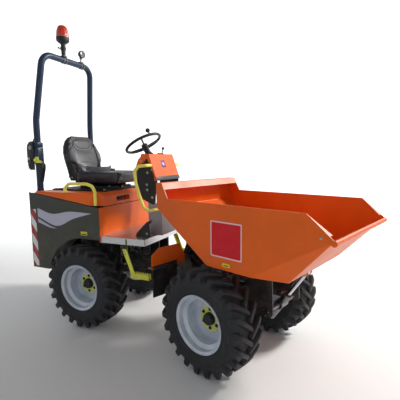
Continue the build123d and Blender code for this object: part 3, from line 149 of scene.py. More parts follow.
class Finish:
    """One material: a Principled surface and whatever feeds it."""

    def __init__(self, name, **constants):
        self.material = bpy.data.materials.new(name)
        self.material.use_nodes = True
        self.tree = self.material.node_tree
        self.surface = self.tree.nodes["Principled BSDF"]
        for socket, value in constants.items():
            self.surface.inputs[socket.replace("_", " ")].default_value = value

    def node(self, kind, settings=None, values=None):
        """Adds a node: its settings first, then its sockets' values or links."""
        made = self.tree.nodes.new(kind)
        for name, value in (settings or {}).items():
            setattr(made, name, value)
        for name, value in (values or {}).items():
            self.feed(made.inputs[name], value)
        return made

    def feed(self, socket, value):
        if isinstance(value, Value):
            self.tree.links.new(value.socket, socket)
        elif isinstance(value, bpy.types.NodeSocket):
            self.tree.links.new(value, socket)
        else:
            socket.default_value = value

    def place(self):
        """Where a point is on the object, in metres."""
        return self.node("ShaderNodeTexCoord").outputs["Object"]

    def axes(self, place=None):
        split = self.node("ShaderNodeSeparateXYZ", None, {0: place or self.place()})
        return [Value(self, output) for output in split.outputs]

    def moved(self, matrix):
        """The place in another frame: matrix takes that frame to the object's."""
        inverse = matrix.inverted()
        settings = {"vector_type": "POINT"}
        values = {
            "Vector": self.place(),
            "Location": inverse.translation,
            "Rotation": inverse.to_euler(),
            "Scale": (1.0, 1.0, 1.0),
        }
        return self.node("ShaderNodeMapping", settings, values).outputs[0]

    def noise(self, scale, detail=3.0, roughness=0.55, squash=(1.0, 1.0, 1.0)):
        place = self.place()
        if squash != (1.0, 1.0, 1.0):
            place = self.node("ShaderNodeVectorMath", {"operation": "MULTIPLY"},
                              {0: place, 1: squash}).outputs[0]
        values = {"Vector": place, "Scale": scale, "Detail": detail, "Roughness": roughness}
        return Value(self, self.node("ShaderNodeTexNoise", None, values).outputs[0])

    def cells(self, scale):
        """How far a point is from the middle of its cell."""
        values = {"Vector": self.place(), "Scale": scale}
        return Value(self, self.node("ShaderNodeTexVoronoi", {"feature": "F1"}, values).outputs["Distance"])

    def mix(self, factor, first, second):
        """A colour between two colours."""
        made = self.node("ShaderNodeMix", {"data_type": "RGBA"})
        for index, value in ((0, factor), (6, first), (7, second)):
            plain = isinstance(value, (tuple, list, str))
            self.feed(made.inputs[index], colour(value) if plain else value)
        return Value(self, made.outputs[2])

    def wear_and_highlight_edge(self, reach=0.004):
        """Near 1 on outer edges and 0 on flats."""
        bevel = self.node("ShaderNodeBevel", {"samples": 4}, {"Radius": reach})
        normal = self.node("ShaderNodeNewGeometry").outputs["Normal"]
        dot = self.node("ShaderNodeVectorMath", {"operation": "DOT_PRODUCT"},
                        {0: bevel.outputs[0], 1: normal})
        return (1.0 - Value(self, dot.outputs["Value"])).ramp(0.02, 0.25)

    def finish(self, base=None, roughness=None, metallic=None, coat=None, height=None, depth=0.001,
               emission=None):
        """Feeds the varying values to the surface and gives the material."""
        for name, value in (("Base Color", base), ("Roughness", roughness), ("Metallic", metallic),
                            ("Coat Weight", coat), ("Emission Color", emission)):
            if value is not None:
                self.feed(self.surface.inputs[name], colour(value) if isinstance(value, str) else value)
        if height is not None:
            bump = self.node("ShaderNodeBump", None, {"Height": height, "Distance": depth, "Strength": 1.0})
            self.feed(self.surface.inputs["Normal"], bump.outputs[0])
        return self.material


def colour(value):
    """Linear colour from a hex string such as 'c8641e', or from numbers."""
    if isinstance(value, str):
        parts = [int(value[i:i + 2], 16) / 255 for i in (0, 2, 4)]
        value = [c / 12.92 if c <= 0.04045 else ((c + 0.055) / 1.055) ** 2.4 for c in parts]
    return (*value[:3], 1.0)


# ------------------------------------------------------------------ finishes
def paint(name, shade, gloss=0.3, dust=0.35, peel=0.00012):
    """Sprayed paint: uneven gloss, orange peel, paler edges that are partly wear and partly a painted
    highlight, and dust towards the ground.
    """
    made = Finish(name, Specular_IOR_Level=0.35)
    height = made.axes()[2]
    cloud = made.noise(2.2, 4.0)
    speck = made.noise(38.0, 5.0, 0.7)
    tone = made.mix(cloud.ramp(0.3, 0.7), [c * 0.9 for c in shade], [min(1.0, c * 1.06) for c in shade])
    # paler edges: partly worn paint, partly a painted highlight where the bends would catch the light
    edges = made.wear_and_highlight_edge() * speck.ramp(0.38, 0.62)
    pale = [0.85 * c + 0.09 for c in shade]
    tone = made.mix(edges * 0.55, tone, pale)
    dusty = height.ramp(0.15, 1.15, dust, 0.0) * made.noise(9.0, 6.0, 0.7).ramp(0.35, 0.75)
    tone = made.mix(dusty, tone, "8b8076")
    roughness = gloss + 0.16 * cloud.ramp(0.3, 0.8) + 0.4 * dusty
    return made.finish(tone, roughness=roughness, height=made.noise(420.0, 2.0), depth=peel)


def plastic(name, shade, gloss=0.5, grain=0.0002):
    """Moulded plastic with a fine grain."""
    made = Finish(name)
    cloud = made.noise(6.0, 3.0)
    tone = made.mix(cloud.ramp(0.3, 0.7), [c * 0.85 for c in shade], [c * 1.2 for c in shade])
    return made.finish(tone, roughness=gloss + 0.15 * cloud, height=made.cells(900.0), depth=grain)


def metal(name, shade, gloss=0.3, brushed=(1.0, 1.0, 1.0), streak=0.25):
    """Bare metal; brushed squashes the noise along the brushing."""
    made = Finish(name, Metallic=1.0)
    lines = made.noise(160.0, 3.0, 0.6, squash=brushed)
    stain = made.noise(7.0, 4.0)
    tone = made.mix(stain.ramp(0.3, 0.75), [c * 0.7 for c in shade], shade)
    roughness = gloss + streak * lines.ramp(0.3, 0.7) * stain
    return made.finish(tone, roughness=roughness, height=lines, depth=0.00008)


def rubber(name, shade, amount=0.35):
    """Rubber with dust in its pores."""
    made = Finish(name, Specular_IOR_Level=0.35)
    cloud = made.noise(11.0, 6.0, 0.65)
    fine = made.noise(240.0, 3.0, 0.6)
    dusty = cloud.ramp(0.42, 0.8) * amount + fine.ramp(0.5, 0.8) * amount * 0.4
    tone = made.mix(dusty, shade, "6b6257")
    return made.finish(tone, roughness=0.62 + 0.3 * dusty, height=fine, depth=0.0005)


def tyre_rubber(wheel):
    """A tyre's rubber: scuffed and dusty on the lugs, darker between them and on the walls."""
    made = Finish("tyre_" + wheel, Specular_IOR_Level=0.4)
    across, radius = wheel_axes(made, wheel)
    fine = made.noise(200.0, 4.0, 0.65)
    cloud = made.noise(14.0, 5.0, 0.7)
    crown = radius.ramp(0.352, 0.379)
    wall = across.size().ramp(0.09, 0.12)
    dusty = crown * cloud.ramp(0.3, 0.7) * 0.3 + (1.0 - crown) * cloud.ramp(0.5, 0.85) * 0.4
    tone = made.mix(dusty, "202227", "5c564e")
    tone = made.mix(wall * 0.35, tone, "2b2c31")
    roughness = 0.5 + 0.22 * cloud + 0.15 * dusty
    return made.finish(tone, roughness=roughness, height=fine, depth=0.0004)


def wheel_axes(made, wheel):
    """How far a point is across the wheel (positive outward), and from its axle."""
    side = 1 if wheel.endswith("left") else -1
    unmirrored = wheel_frame(wheel) @ Matrix.Diagonal((1, side, 1, 1))
    x, y, z = made.axes(made.moved(unmirrored))
    return y * side, (x * x + z * z) ** 0.5


def rim_finish(wheel):
    """Silver rim with a lime hub disc and faint rings of painted shade, by the distance from the axle."""
    known = bpy.data.materials.get("rim_" + wheel)
    if known:
        return known
    made = Finish("rim_" + wheel, Coat_Weight=0.3, Coat_Roughness=0.15)
    options = bpy.context.scene.dumper
    across, radius = wheel_axes(made, wheel)
    cloud = made.noise(9.0, 4.0)
    speck = made.noise(60.0, 5.0, 0.7)
    silver = made.mix(cloud.ramp(0.3, 0.7), "bcc5d2", "d4dce8")
    # painted shade: faint darker rings round the axle stand in for the shade in the rim's steps
    rings = (radius * 700.0).wave() * 0.5 + 0.5
    silver = made.mix(rings * 0.08, silver, "5f636b")
    outer_face = across > -0.030
    lime = radius.ramp(0.0905, 0.0925, 1.0, 0.0).both(outer_face)
    lime = lime * (0.75 + 0.25 * speck.ramp(0.35, 0.55))
    tone = made.mix(lime, silver, tuple(options.hub_colour))
    mud = (radius > 0.15) * speck.ramp(0.55, 0.8) * 0.3
    tone = made.mix(mud, tone, "857a6c")
    metallic = (radius > 0.0962) * 0.25
    return made.finish(tone, roughness=0.28 + 0.2 * cloud + mud, metallic=metallic, height=speck,
                       depth=0.0001)


def tape():
    """Red and white chevron tape, slanting along the panel's edge."""
    made = Finish("chevron_tape", Roughness=0.25, Coat_Weight=0.4)
    x, y, z = made.axes(made.moved(REAR))
    pitch, slant = 0.138, 0.75
    stripe = (x + y.size() + z * slant).remainder(pitch) > pitch / 2
    glint = made.cells(420.0)
    red = made.mix(glint, "b3161d", "8c1016")
    white = made.mix(glint, "f1efec", "cfd2d6")
    tone = made.mix(stripe, red, white)
    return made.finish(tone, height=glint, depth=0.00005)


def tread_plate():
    """Bare plate with rows of crossing raised bars, scuffed by boots."""
    made = Finish("tread_plate", Metallic=0.85)
    x, y, z = made.axes(made.moved(REAR))
    pitch, plate_top = 0.030, 0.8485
    bars = None
    for turn in (0, 1):
        a, b = (x + y, x - y) if turn else (x - y, x + y)
        shift = pitch / 2 * turn
        along = (a + shift).remainder(pitch) / pitch - 0.5
        beside = (b + shift).remainder(pitch) / pitch - 0.5
        bar = along.size().ramp(0.30, 0.36, 1.0, 0.0) * beside.size().ramp(0.08, 0.14, 1.0, 0.0)
        bars = bar if bars is None else bars.either(bar)
    bars = bars * (z > plate_top)
    cloud = made.noise(10.0, 5.0, 0.7)
    tone = made.mix(cloud.ramp(0.35, 0.7), "6d6a70", "9b989c")
    tone = made.mix(bars * 0.4, tone, "c6c4c4")
    return made.finish(tone, roughness=0.3 + 0.3 * cloud, height=bars + cloud * 0.1, depth=0.0018)


def vinyl(name, shade):
    """Grained seat vinyl, polished where it is sat on."""
    made = Finish(name, Coat_Weight=0.15, Coat_Roughness=0.3)
    grain = made.cells(620.0)
    cloud = made.noise(7.0, 4.0)
    tone = made.mix(cloud.ramp(0.3, 0.75), [c * 0.8 for c in shade], [c * 1.25 for c in shade])
    return made.finish(tone, roughness=0.36 + 0.2 * cloud + 0.08 * grain, height=grain, depth=0.0005)


def webbing():
    """Woven belt."""
    made = Finish("belt_webbing", Sheen_Weight=0.3)
    x, y, z = made.axes()
    weave = ((x + z) * 2600.0).wave() * ((y - z) * 2600.0).wave()
    tone = made.mix(weave * 0.5 + 0.5, "17181b", "2c2d31")
    return made.finish(tone, roughness=0.7 + 0.1 * weave, height=weave, depth=0.0004)


def lens(name, shade, glow=0.0):
    """Coloured moulded lens with fine prisms inside."""
    made = Finish(name, IOR=1.49, Coat_Weight=0.8, Coat_Roughness=0.03, Subsurface_Weight=0.15)
    made.surface.inputs["Subsurface Radius"].default_value = (0.02, 0.006, 0.004)
    prism = (made.axes()[2] * 900.0).wave() * 0.5 + 0.5
    cloud = made.noise(25.0, 3.0)
    tone = made.mix(prism * 0.5 + cloud * 0.3, [c * 0.55 for c in shade], shade)
    made.surface.inputs["Emission Strength"].default_value = glow
    return made.finish(tone, roughness=0.1 + 0.12 * cloud, height=prism, depth=0.0004, emission=tone)


def printed(name, shade):
    """Vinyl label, a little faded."""
    made = Finish(name, Specular_IOR_Level=0.3)
    cloud = made.noise(18.0, 4.0)
    tone = made.mix(cloud.ramp(0.35, 0.7) * 0.15, shade, [0.8 * c + 0.06 for c in shade])
    return made.finish(tone, roughness=0.38 + 0.1 * cloud, height=cloud, depth=0.00005)


def floor_finish():
    """Pale studio floor with faint marks; it glows a little on one side, which gives an even backdrop."""
    made = Finish("studio_floor", Emission_Strength=1.0)
    cloud = made.noise(0.8, 5.0)
    fine = made.noise(60.0, 4.0)
    x, y = made.axes()[:2]
    far = (y * 0.91 - x * 0.415).ramp(0.6, 6.0)
    glow = made.mix(far, (0.0, 0.0, 0.0), (0.62, 0.63, 0.64))
    tone = made.mix(cloud.ramp(0.3, 0.7) * 0.35 + fine * 0.1, "f1f1f1", "eaeaea")
    return made.finish(tone, roughness=0.62 + 0.1 * fine, height=fine, depth=0.0002, emission=glow)


# Each finish: its function, its shade (an option of the panel or a hex colour) and its other values.
FINISHES = {
    "orange": (paint, "body_colour", 0.36, 0.16),
    "charcoal": (paint, "panel_colour", 0.34),
    "black": (paint, "frame_colour", 0.38, 0.5),
    "grey": (paint, "9c9aa0", 0.35),
    "lime": (paint, "step_colour", 0.3),
    "rail_yellow": (paint, "rail_colour", 0.28, 0.1),
    "bar_black": (paint, "20324a", 0.3, 0.1),
    "iron": (paint, "4b5054", 0.5, 0.4, 0.0006),
    "chrome": (metal, "d5d6da", 0.08, (1, 1, 0.1), 0.1),
    "steel": (metal, "85878c", 0.34, (1, 1, 0.08), 0.3),
    "zinc": (metal, "c4c2b6", 0.3),
    "brass": (metal, "c9a24e", 0.3),
    "plastic": (plastic, "1d1e20"),
    "grip": (plastic, "191a1c", 0.42, 0.0004),
    "red_button": (plastic, "a81414", 0.3),
    "flap": (rubber, "1b1b1d"),
    "hose": (rubber, "1a1a1c", 0.2),
    "bellows": (rubber, "151517", 0.15),
    "vinyl": (vinyl, "seat_colour"),
    "piping": (vinyl, "15161a"),
    "red_lens": (lens, "d8380c", 0.06),
    "clear_lens": (lens, "6c7278"),
    "red_label": (printed, "d00a1c"),
    "pale_label": (printed, "e9c9cb"),
    "yellow_label": (printed, "e2d21c"),
    "grey_label": (printed, "b9b8cc"),
    "plum_label": (printed, "6a3382"),
    "dark_label": (printed, "33343a"),
}
PATTERNS = {"webbing": webbing, "tape": tape, "tread_plate": tread_plate, "floor": floor_finish}


def finish(name):
    """A material by name, made on first use."""
    if bpy.data.materials.get(name):
        return bpy.data.materials[name]
    if name in PATTERNS:
        return PATTERNS[name]()
    make, shade, *others = FINISHES[name]
    options = bpy.context.scene.dumper
    chosen = list(getattr(options, shade)) if hasattr(options, shade) else colour(shade)
    return make(name, chosen, *others)


# ------------------------------------------------------------------ meshes
def wheel_frame(wheel):
    """A wheel's own frame: Y points outward, Z up; mirrored on the right, so lugs point the same way."""
    half = FRONT if wheel.startswith("front") else REAR
    centre = Vector(JOINTS["spin_" + wheel]["pos_m"])
    side = 1 if wheel.endswith("left") else -1
    return Matrix.Translation(centre) @ half.to_3x3().to_4x4() @ Matrix.Diagonal((1, side, 1, 1))


def turns(count):
    """Angles of equal steps round a full turn."""
    return [2 * math.pi * k / count for k in range(count)]


def circle(centre, way, radius, sides):
    """Points of a circle about an axis."""
    way = Vector(way).normalized()
    across = way.orthogonal().normalized()
    other = way.cross(across)
    centre = Vector(centre)
    return [centre + (across * math.cos(t) + other * math.sin(t)) * radius for t in turns(sides)]


def rounded(outline, radius, steps=4):
    """A flat outline with its corners rounded."""
    made = []
    count = len(outline)
    for i in range(count):
        corner = Vector(outline[i])
        before = Vector(outline[i - 1]) - corner
        after = Vector(outline[(i + 1) % count]) - corner
        angle = before.angle(after)
        reach = min(radius / math.tan(angle / 2), before.length * 0.49, after.length * 0.49)
        start = corner + before.normalized() * reach
        end = corner + after.normalized() * reach
        for k in range(steps + 1):
            t = k / steps
            made.append(tuple(start * (1 - t) ** 2 + corner * 2 * t * (1 - t) + end * t ** 2))
    return made


def rectangle(a, b):
    """An upright rectangle's outline from its ends along two axes."""
    return [(a[0], b[0]), (a[1], b[0]), (a[1], b[1]), (a[0], b[1])]


def outward(side, near, far):
    """The low and high end of a span from near to far on one side of the middle."""
    return sorted((side * near, side * far))


def smooth_line(points, step=0.02):
    """Points along a smooth curve through the given points."""
    points = [Vector(p) for p in points]
    ends = [points[0] * 2 - points[1], *points, points[-1] * 2 - points[-2]]
    line = []
    for a, b, c, d in zip(ends, ends[1:], ends[2:], ends[3:]):
        count = max(2, round((c - b).length / step))
        for k in range(count):
            t = k / count
            line.append(0.5 * (2 * b + (c - a) * t + (2 * a - 5 * b + 4 * c - d) * t ** 2
                               + (3 * b - a - 3 * c + d) * t ** 3))
    return [*line, points[-1]]


class Piece:
    """A mesh drawn in a working frame, which then rides on a body."""

    def __init__(self, name, body, slot, frame_matrix=REAR):
        self.name = name
        self.body = body
        self.slot = slot
        self.frame = frame_matrix
        self.mesh = bmesh.new()
        self.materials = []

    def use(self, name):
        """The faces drawn from here on have this finish."""
        self.materials.append(finish(name) if isinstance(name, str) else name)
        return self

    def skin(self, rows, caps=True, bevel=0.0, loop=False):
        """Faces between rows of points; a row is a closed ring, and the ends may be capped."""
        made = [[self.mesh.verts.new(point) for point in row] for row in rows]
        faces = []
        count = len(made[0])
        pairs = list(zip(made, made[1:])) + ([(made[-1], made[0])] if loop else [])
        for low, high in pairs:
            for i in range(count):
                j = (i + 1) % count
                faces.append(self.mesh.faces.new((low[i], low[j], high[j], high[i])))
        if caps and not loop:
            faces.append(self.mesh.faces.new(made[0][::-1]))
            faces.append(self.mesh.faces.new(made[-1]))
        for face in faces:
            face.material_index = len(self.materials) - 1
        if bevel:
            bmesh.ops.recalc_face_normals(self.mesh, faces=faces)
            edges = dict.fromkeys(edge for face in faces for edge in face.edges)
            sharp = [edge for edge in edges if len(edge.link_faces) == 2 and edge.calc_face_angle() > 0.6]
            bmesh.ops.bevel(self.mesh, geom=sharp, offset=bevel, segments=2, profile=0.5, affect="EDGES")
        return self

    def slab(self, outline, axis, start, end, bevel=0.0):
        """A flat outline, in the two other axes, drawn along an axis."""
        at = "xyz".index(axis)
        rows = [[(*point[:at], t, *point[at:]) for point in outline] for t in (start, end)]
        return self.skin(rows, bevel=bevel)

    def box(self, x, y, z, bevel=0.001):
        return self.slab(rectangle(x, y), "z", z[0], z[1], bevel)

    def rod(self, start, end, radius, sides=20, bevel=0.0):
        way = Vector(end) - Vector(start)
        return self.skin([circle(spot, way, radius, sides) for spot in (start, end)], bevel=bevel)

    def lathe(self, profile, sides=48, start=(0, 0, 0), way=(0, 1, 0), loop=False, caps=True):
        """Turned from (distance along, radius) points about an axis."""
        start, way = Vector(start), Vector(way).normalized()
        rows = [circle(start + way * a, way, max(r, 0.00001), sides) for a, r in profile]
        return self.skin(rows, loop=loop, caps=caps)

    def tube(self, points, radius, sides=10, closed=False, flat=None):
        """A round tube along points; flat gives an elliptic strip's other half width."""
        points = [Vector(p) for p in points]
        rows = []
        across = None
        count = len(points)
        for i, point in enumerate(points):
            before = points[i - 1] if closed or i else point
            after = points[(i + 1) % count] if closed or i + 1 < count else point
            way = (after - before).normalized()
            across = way.orthogonal() if across is None else across - way * across.dot(way)
            across.normalize()
            other = way.cross(across)
            rows.append([point + across * math.cos(t) * radius + other * math.sin(t) * (flat or radius)
                         for t in turns(sides)])
        return self.skin(rows, caps=not closed, loop=closed)

    def bolt(self, place, way, size=0.012, washer=True, socket=False):
        """Bolt head on a washer; size is across the head."""
        place, way = Vector(place), Vector(way).normalized()
        if washer:
            self.lathe([(0, size * 0.9), (size * 0.12, size * 0.9), (size * 0.16, size * 0.86)], 20, place,
                       way)
            place = place + way * size * 0.12
        head = [(0, 0.56), (0.5, 0.56), (0.6, 0.48)]
        if socket:
            head += [(0.6, 0.3), (0.3, 0.28)]
        sides = 16 if socket else 6
        return self.skin([circle(place + way * size * a, way, size * r, sides) for a, r in head])

    def bolts(self, xs, ys, zs, way, size=0.012, washer=True, socket=False):
        """Bolt heads wherever the given places along the three axes cross."""
        for place in itertools.product(xs, ys, zs):
            self.bolt(place, way, size, washer, socket)

    def label(self, outline, axis, face, thickness=0.0005):
        """A thin plate laid on a face; thickness may be negative."""
        return self.slab(outline, axis, face, face + thickness)

    def place(self, sharp=35.0, replaces=()):
        """Ends the mesh, takes it from its working frame to the shared one and lets it ride."""
        bmesh.ops.remove_doubles(self.mesh, verts=self.mesh.verts, dist=0.00002)
        bmesh.ops.recalc_face_normals(self.mesh, faces=self.mesh.faces)
        self.mesh.transform(self.frame)
        if self.frame.determinant() < 0:
            bmesh.ops.reverse_faces(self.mesh, faces=self.mesh.faces)
        data = bpy.data.meshes.new(self.name)
        self.mesh.to_mesh(data)
        self.mesh.free()
        data.polygons.foreach_set("use_smooth", [True] * len(data.polygons))
        data.set_sharp_from_angle(angle=math.radians(sharp))
        for material in self.materials:
            data.materials.append(material)
        made = bpy.data.objects.new(self.name, data)
        bpy.context.scene.collection.objects.link(made)
        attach(made, self.body)
        if replaces:
            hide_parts(*replaces)
        return made


def coat(node, name):
    """Gives a CAD node a finish."""
    data = frame["nodes"][node].data
    data.materials.clear()
    data.materials.append(finish(name) if isinstance(name, str) else name)


# ------------------------------------------------------------------ pieces
def add_tyres(options):
    """Carcass with bead, rings and curved walls, and two rows of bars that wrap over the shoulders."""
    wall = [
        (0.1077, 0.1946), (0.1092, 0.2088), (0.1150, 0.2135), (0.1206, 0.2225), (0.1222, 0.2310),
        (0.1204, 0.2345), (0.1232, 0.2420), (0.1262, 0.2560), (0.1276, 0.2700), (0.1270, 0.2790),
        (0.1287, 0.2815), (0.1287, 0.2865), (0.1264, 0.2900), (0.1252, 0.2990), (0.1222, 0.3130),
        (0.1140, 0.3270), (0.0960, 0.3390), (0.0600, 0.3470), (0.0, 0.3510),
    ]
    profile = wall + [(-a, r) for a, r in reversed(wall[:-1])]
    # stations of a bar: across and radius of its top, then of its foot
    stations = [
        (-0.006, 0.3780, -0.016, 0.3490), (0.018, 0.3798, 0.016, 0.3490), (0.048, 0.3797, 0.048, 0.3470),
        (0.078, 0.3790, 0.074, 0.3430), (0.102, 0.3765, 0.094, 0.3380), (0.1165, 0.3690, 0.104, 0.3310),
        (0.1215, 0.3560, 0.110, 0.3240), (0.1240, 0.3380, 0.115, 0.3160), (0.1262, 0.3180, 0.119, 0.3060),
        (0.1272, 0.3020, 0.122, 0.2960),
    ]
    for wheel in WHEELS:
        piece = Piece("tyre_tread_" + wheel, "wheel_" + wheel, "tyre_rubber", wheel_frame(wheel))
        piece.use(tyre_rubber(wheel))
        piece.lathe(profile, 96, loop=True)
        count = options.bar_count
        for side in (-1, 1):
            for index in range(count):
                start = 2 * math.pi * (index + (0.5 if side < 0 else 0.0)) / count
                rows = []
                for k, (top_y, top_r, foot_y, foot_r) in enumerate(stations):
                    share = k / (len(stations) - 1)
                    turn = start - options.bar_lean * min(1.0, top_y / 0.1135 + 0.04 * share)
                    top = options.bar_width / 2 * (0.92 + 0.32 * share)
                    foot = top + 0.007
                    low = top_r - 0.004
                    section = [
                        (-foot, foot_y, foot_r), (-top - 0.001, top_y - 0.0003, low),
                        (-top + 0.003, top_y, top_r),
                        (top - 0.003, top_y, top_r), (top + 0.001, top_y - 0.0003, low),
                        (foot, foot_y, foot_r),
                    ]
                    row = []
                    for aside, y, r in section:
                        angle = turn + aside / r
                        row.append((r * math.sin(angle), side * y, r * math.cos(angle)))
                    rows.append(row)
                piece.skin(rows)
        # small ribs between the rings of the wall
        for index in range(count * 2):
            angle = math.pi * index / count
            way = Vector((math.sin(angle), 0, math.cos(angle)))
            for side in (-1, 1):
                rows = [circle(way * r + Vector((0, side * y, 0)), way, 0.0022, 6)
                        for r, y in ((0.2470, 0.1235), (0.2620, 0.1262), (0.2760, 0.1268))]
                piece.skin(rows)
        piece.place(40, replaces=["tyre_" + wheel])


def add_wheel_fittings():
    """Wheel nuts, the hub's cap, the tyre valve, and the rim's rings."""
    for wheel in WHEELS:
        piece = Piece("wheel_nuts_" + wheel, "wheel_" + wheel, "black_paint", wheel_frame(wheel))
        for index in range(6):
            angle = math.pi / 3 * index - math.pi / 2
            x, z = 0.070 * math.cos(angle), 0.070 * math.sin(angle)
            piece.use("plastic")
            piece.bolt((x, -0.0172, z), (0, 1, 0), 0.015)
            piece.use("steel")
            piece.rod((x, -0.009, z), (x, -0.001, z), 0.0042, 12)
        piece.use("plastic")
        cap = [(-0.0172, 0.047), (-0.012, 0.047), (-0.006, 0.0435), (0.008, 0.0430), (0.016, 0.0395),
               (0.0195, 0.0330), (0.0195, 0.0250), (0.0175, 0.0240), (0.0175, 0.0)]
        piece.lathe(cap, 48)
        piece.use("steel")
        for index in range(3):
            angle = 2 * math.pi * (index + 0.2) / 3
            piece.bolt((0.029 * math.cos(angle), 0.0190, 0.029 * math.sin(angle)), (0, 1, 0), 0.006, False,
                       True)
        piece.use("brass")
        piece.tube(smooth_line([(0.148, -0.020, 0.040), (0.150, 0.000, 0.040), (0.150, 0.030, 0.041)]),
                   0.0042, 10)
        piece.use("plastic")
        piece.rod((0.150, 0.030, 0.041), (0.150, 0.048, 0.0415), 0.0058, 12, bevel=0.001)
        piece.place()

        rings = Piece("rim_rings_" + wheel, "wheel_" + wheel, "rim_paint", wheel_frame(wheel))
        rings.use(rim_finish(wheel))
        for along, radius, bead in ((-0.0265, 0.1575, 0.0050), (0.0470, 0.1655, 0.0050),
                                    (0.1155, 0.2035, 0.0045), (-0.0265, 0.1080, 0.0028)):
            round_bead = [(along + bead * math.cos(t), radius + bead * math.sin(t)) for t in turns(10)]
            rings.lathe(round_bead, 96, loop=True)
        rings.place(60)


def add_skip_fittings():
    """Plain labels on the skip's sides, bolts at its lip, the ram pin's washers and weld beads."""
    piece = Piece("skip_labels", "skip", "orange_paint", FRONT)
    square = rounded(rectangle((0.787, 1.043), (0.866, 1.108)), 0.008)
    field = rounded(rectangle((0.796, 1.034), (0.875, 1.099)), 0.005)
    yellow_plate = rounded(rectangle((0.886, 0.950), (0.809, 0.833)), 0.009)
    dark_bar = rounded(rectangle((0.898, 0.938), (0.815, 0.822)), 0.002)
    for side in (-1, 1):
        face, raised = side * SKIP_WALL, side * (SKIP_WALL + 0.0005)
        piece.use("pale_label").label(square, "y", face, side * 0.0005)
        piece.use("red_label").label(field, "y", raised, side * 0.0004)
        piece.use("yellow_label").label(yellow_plate, "y", face, side * 0.0005)
        piece.use("dark_label").label(dark_bar, "y", raised, side * 0.0002)
    piece.place()

    piece = Piece("skip_pins", "skip", "black_paint", FRONT)
    for side in (-1, 1):
        piece.use("zinc")
        piece.bolt((1.545, side * SKIP_WALL, 1.098), (0, side, 0), 0.009)
        washer = [(0, 0.020), (0.003, 0.020), (0.004, 0.018), (0.004, 0.0)]
        piece.lathe(washer, 24, (RAM_EYE[0], side * 0.043, RAM_EYE[2]), (0, side, 0))
        piece.use("steel")
        piece.rod((RAM_EYE[0], side * 0.050, 0.722), (RAM_EYE[0], side * 0.050, 0.756), 0.0025, 8)
        # weld beads along the ears' feet
        piece.use("orange")
        for y in (0.1905, 0.1655):
            shares = [k / 24 for k in range(25)]
            piece.tube([(0.988 + 0.164 * t, side * (y - 0.012), 0.7775 + 0.0006 * math.sin(t * 120))
                        for t in shares], 0.0032, 8)
    piece.place()


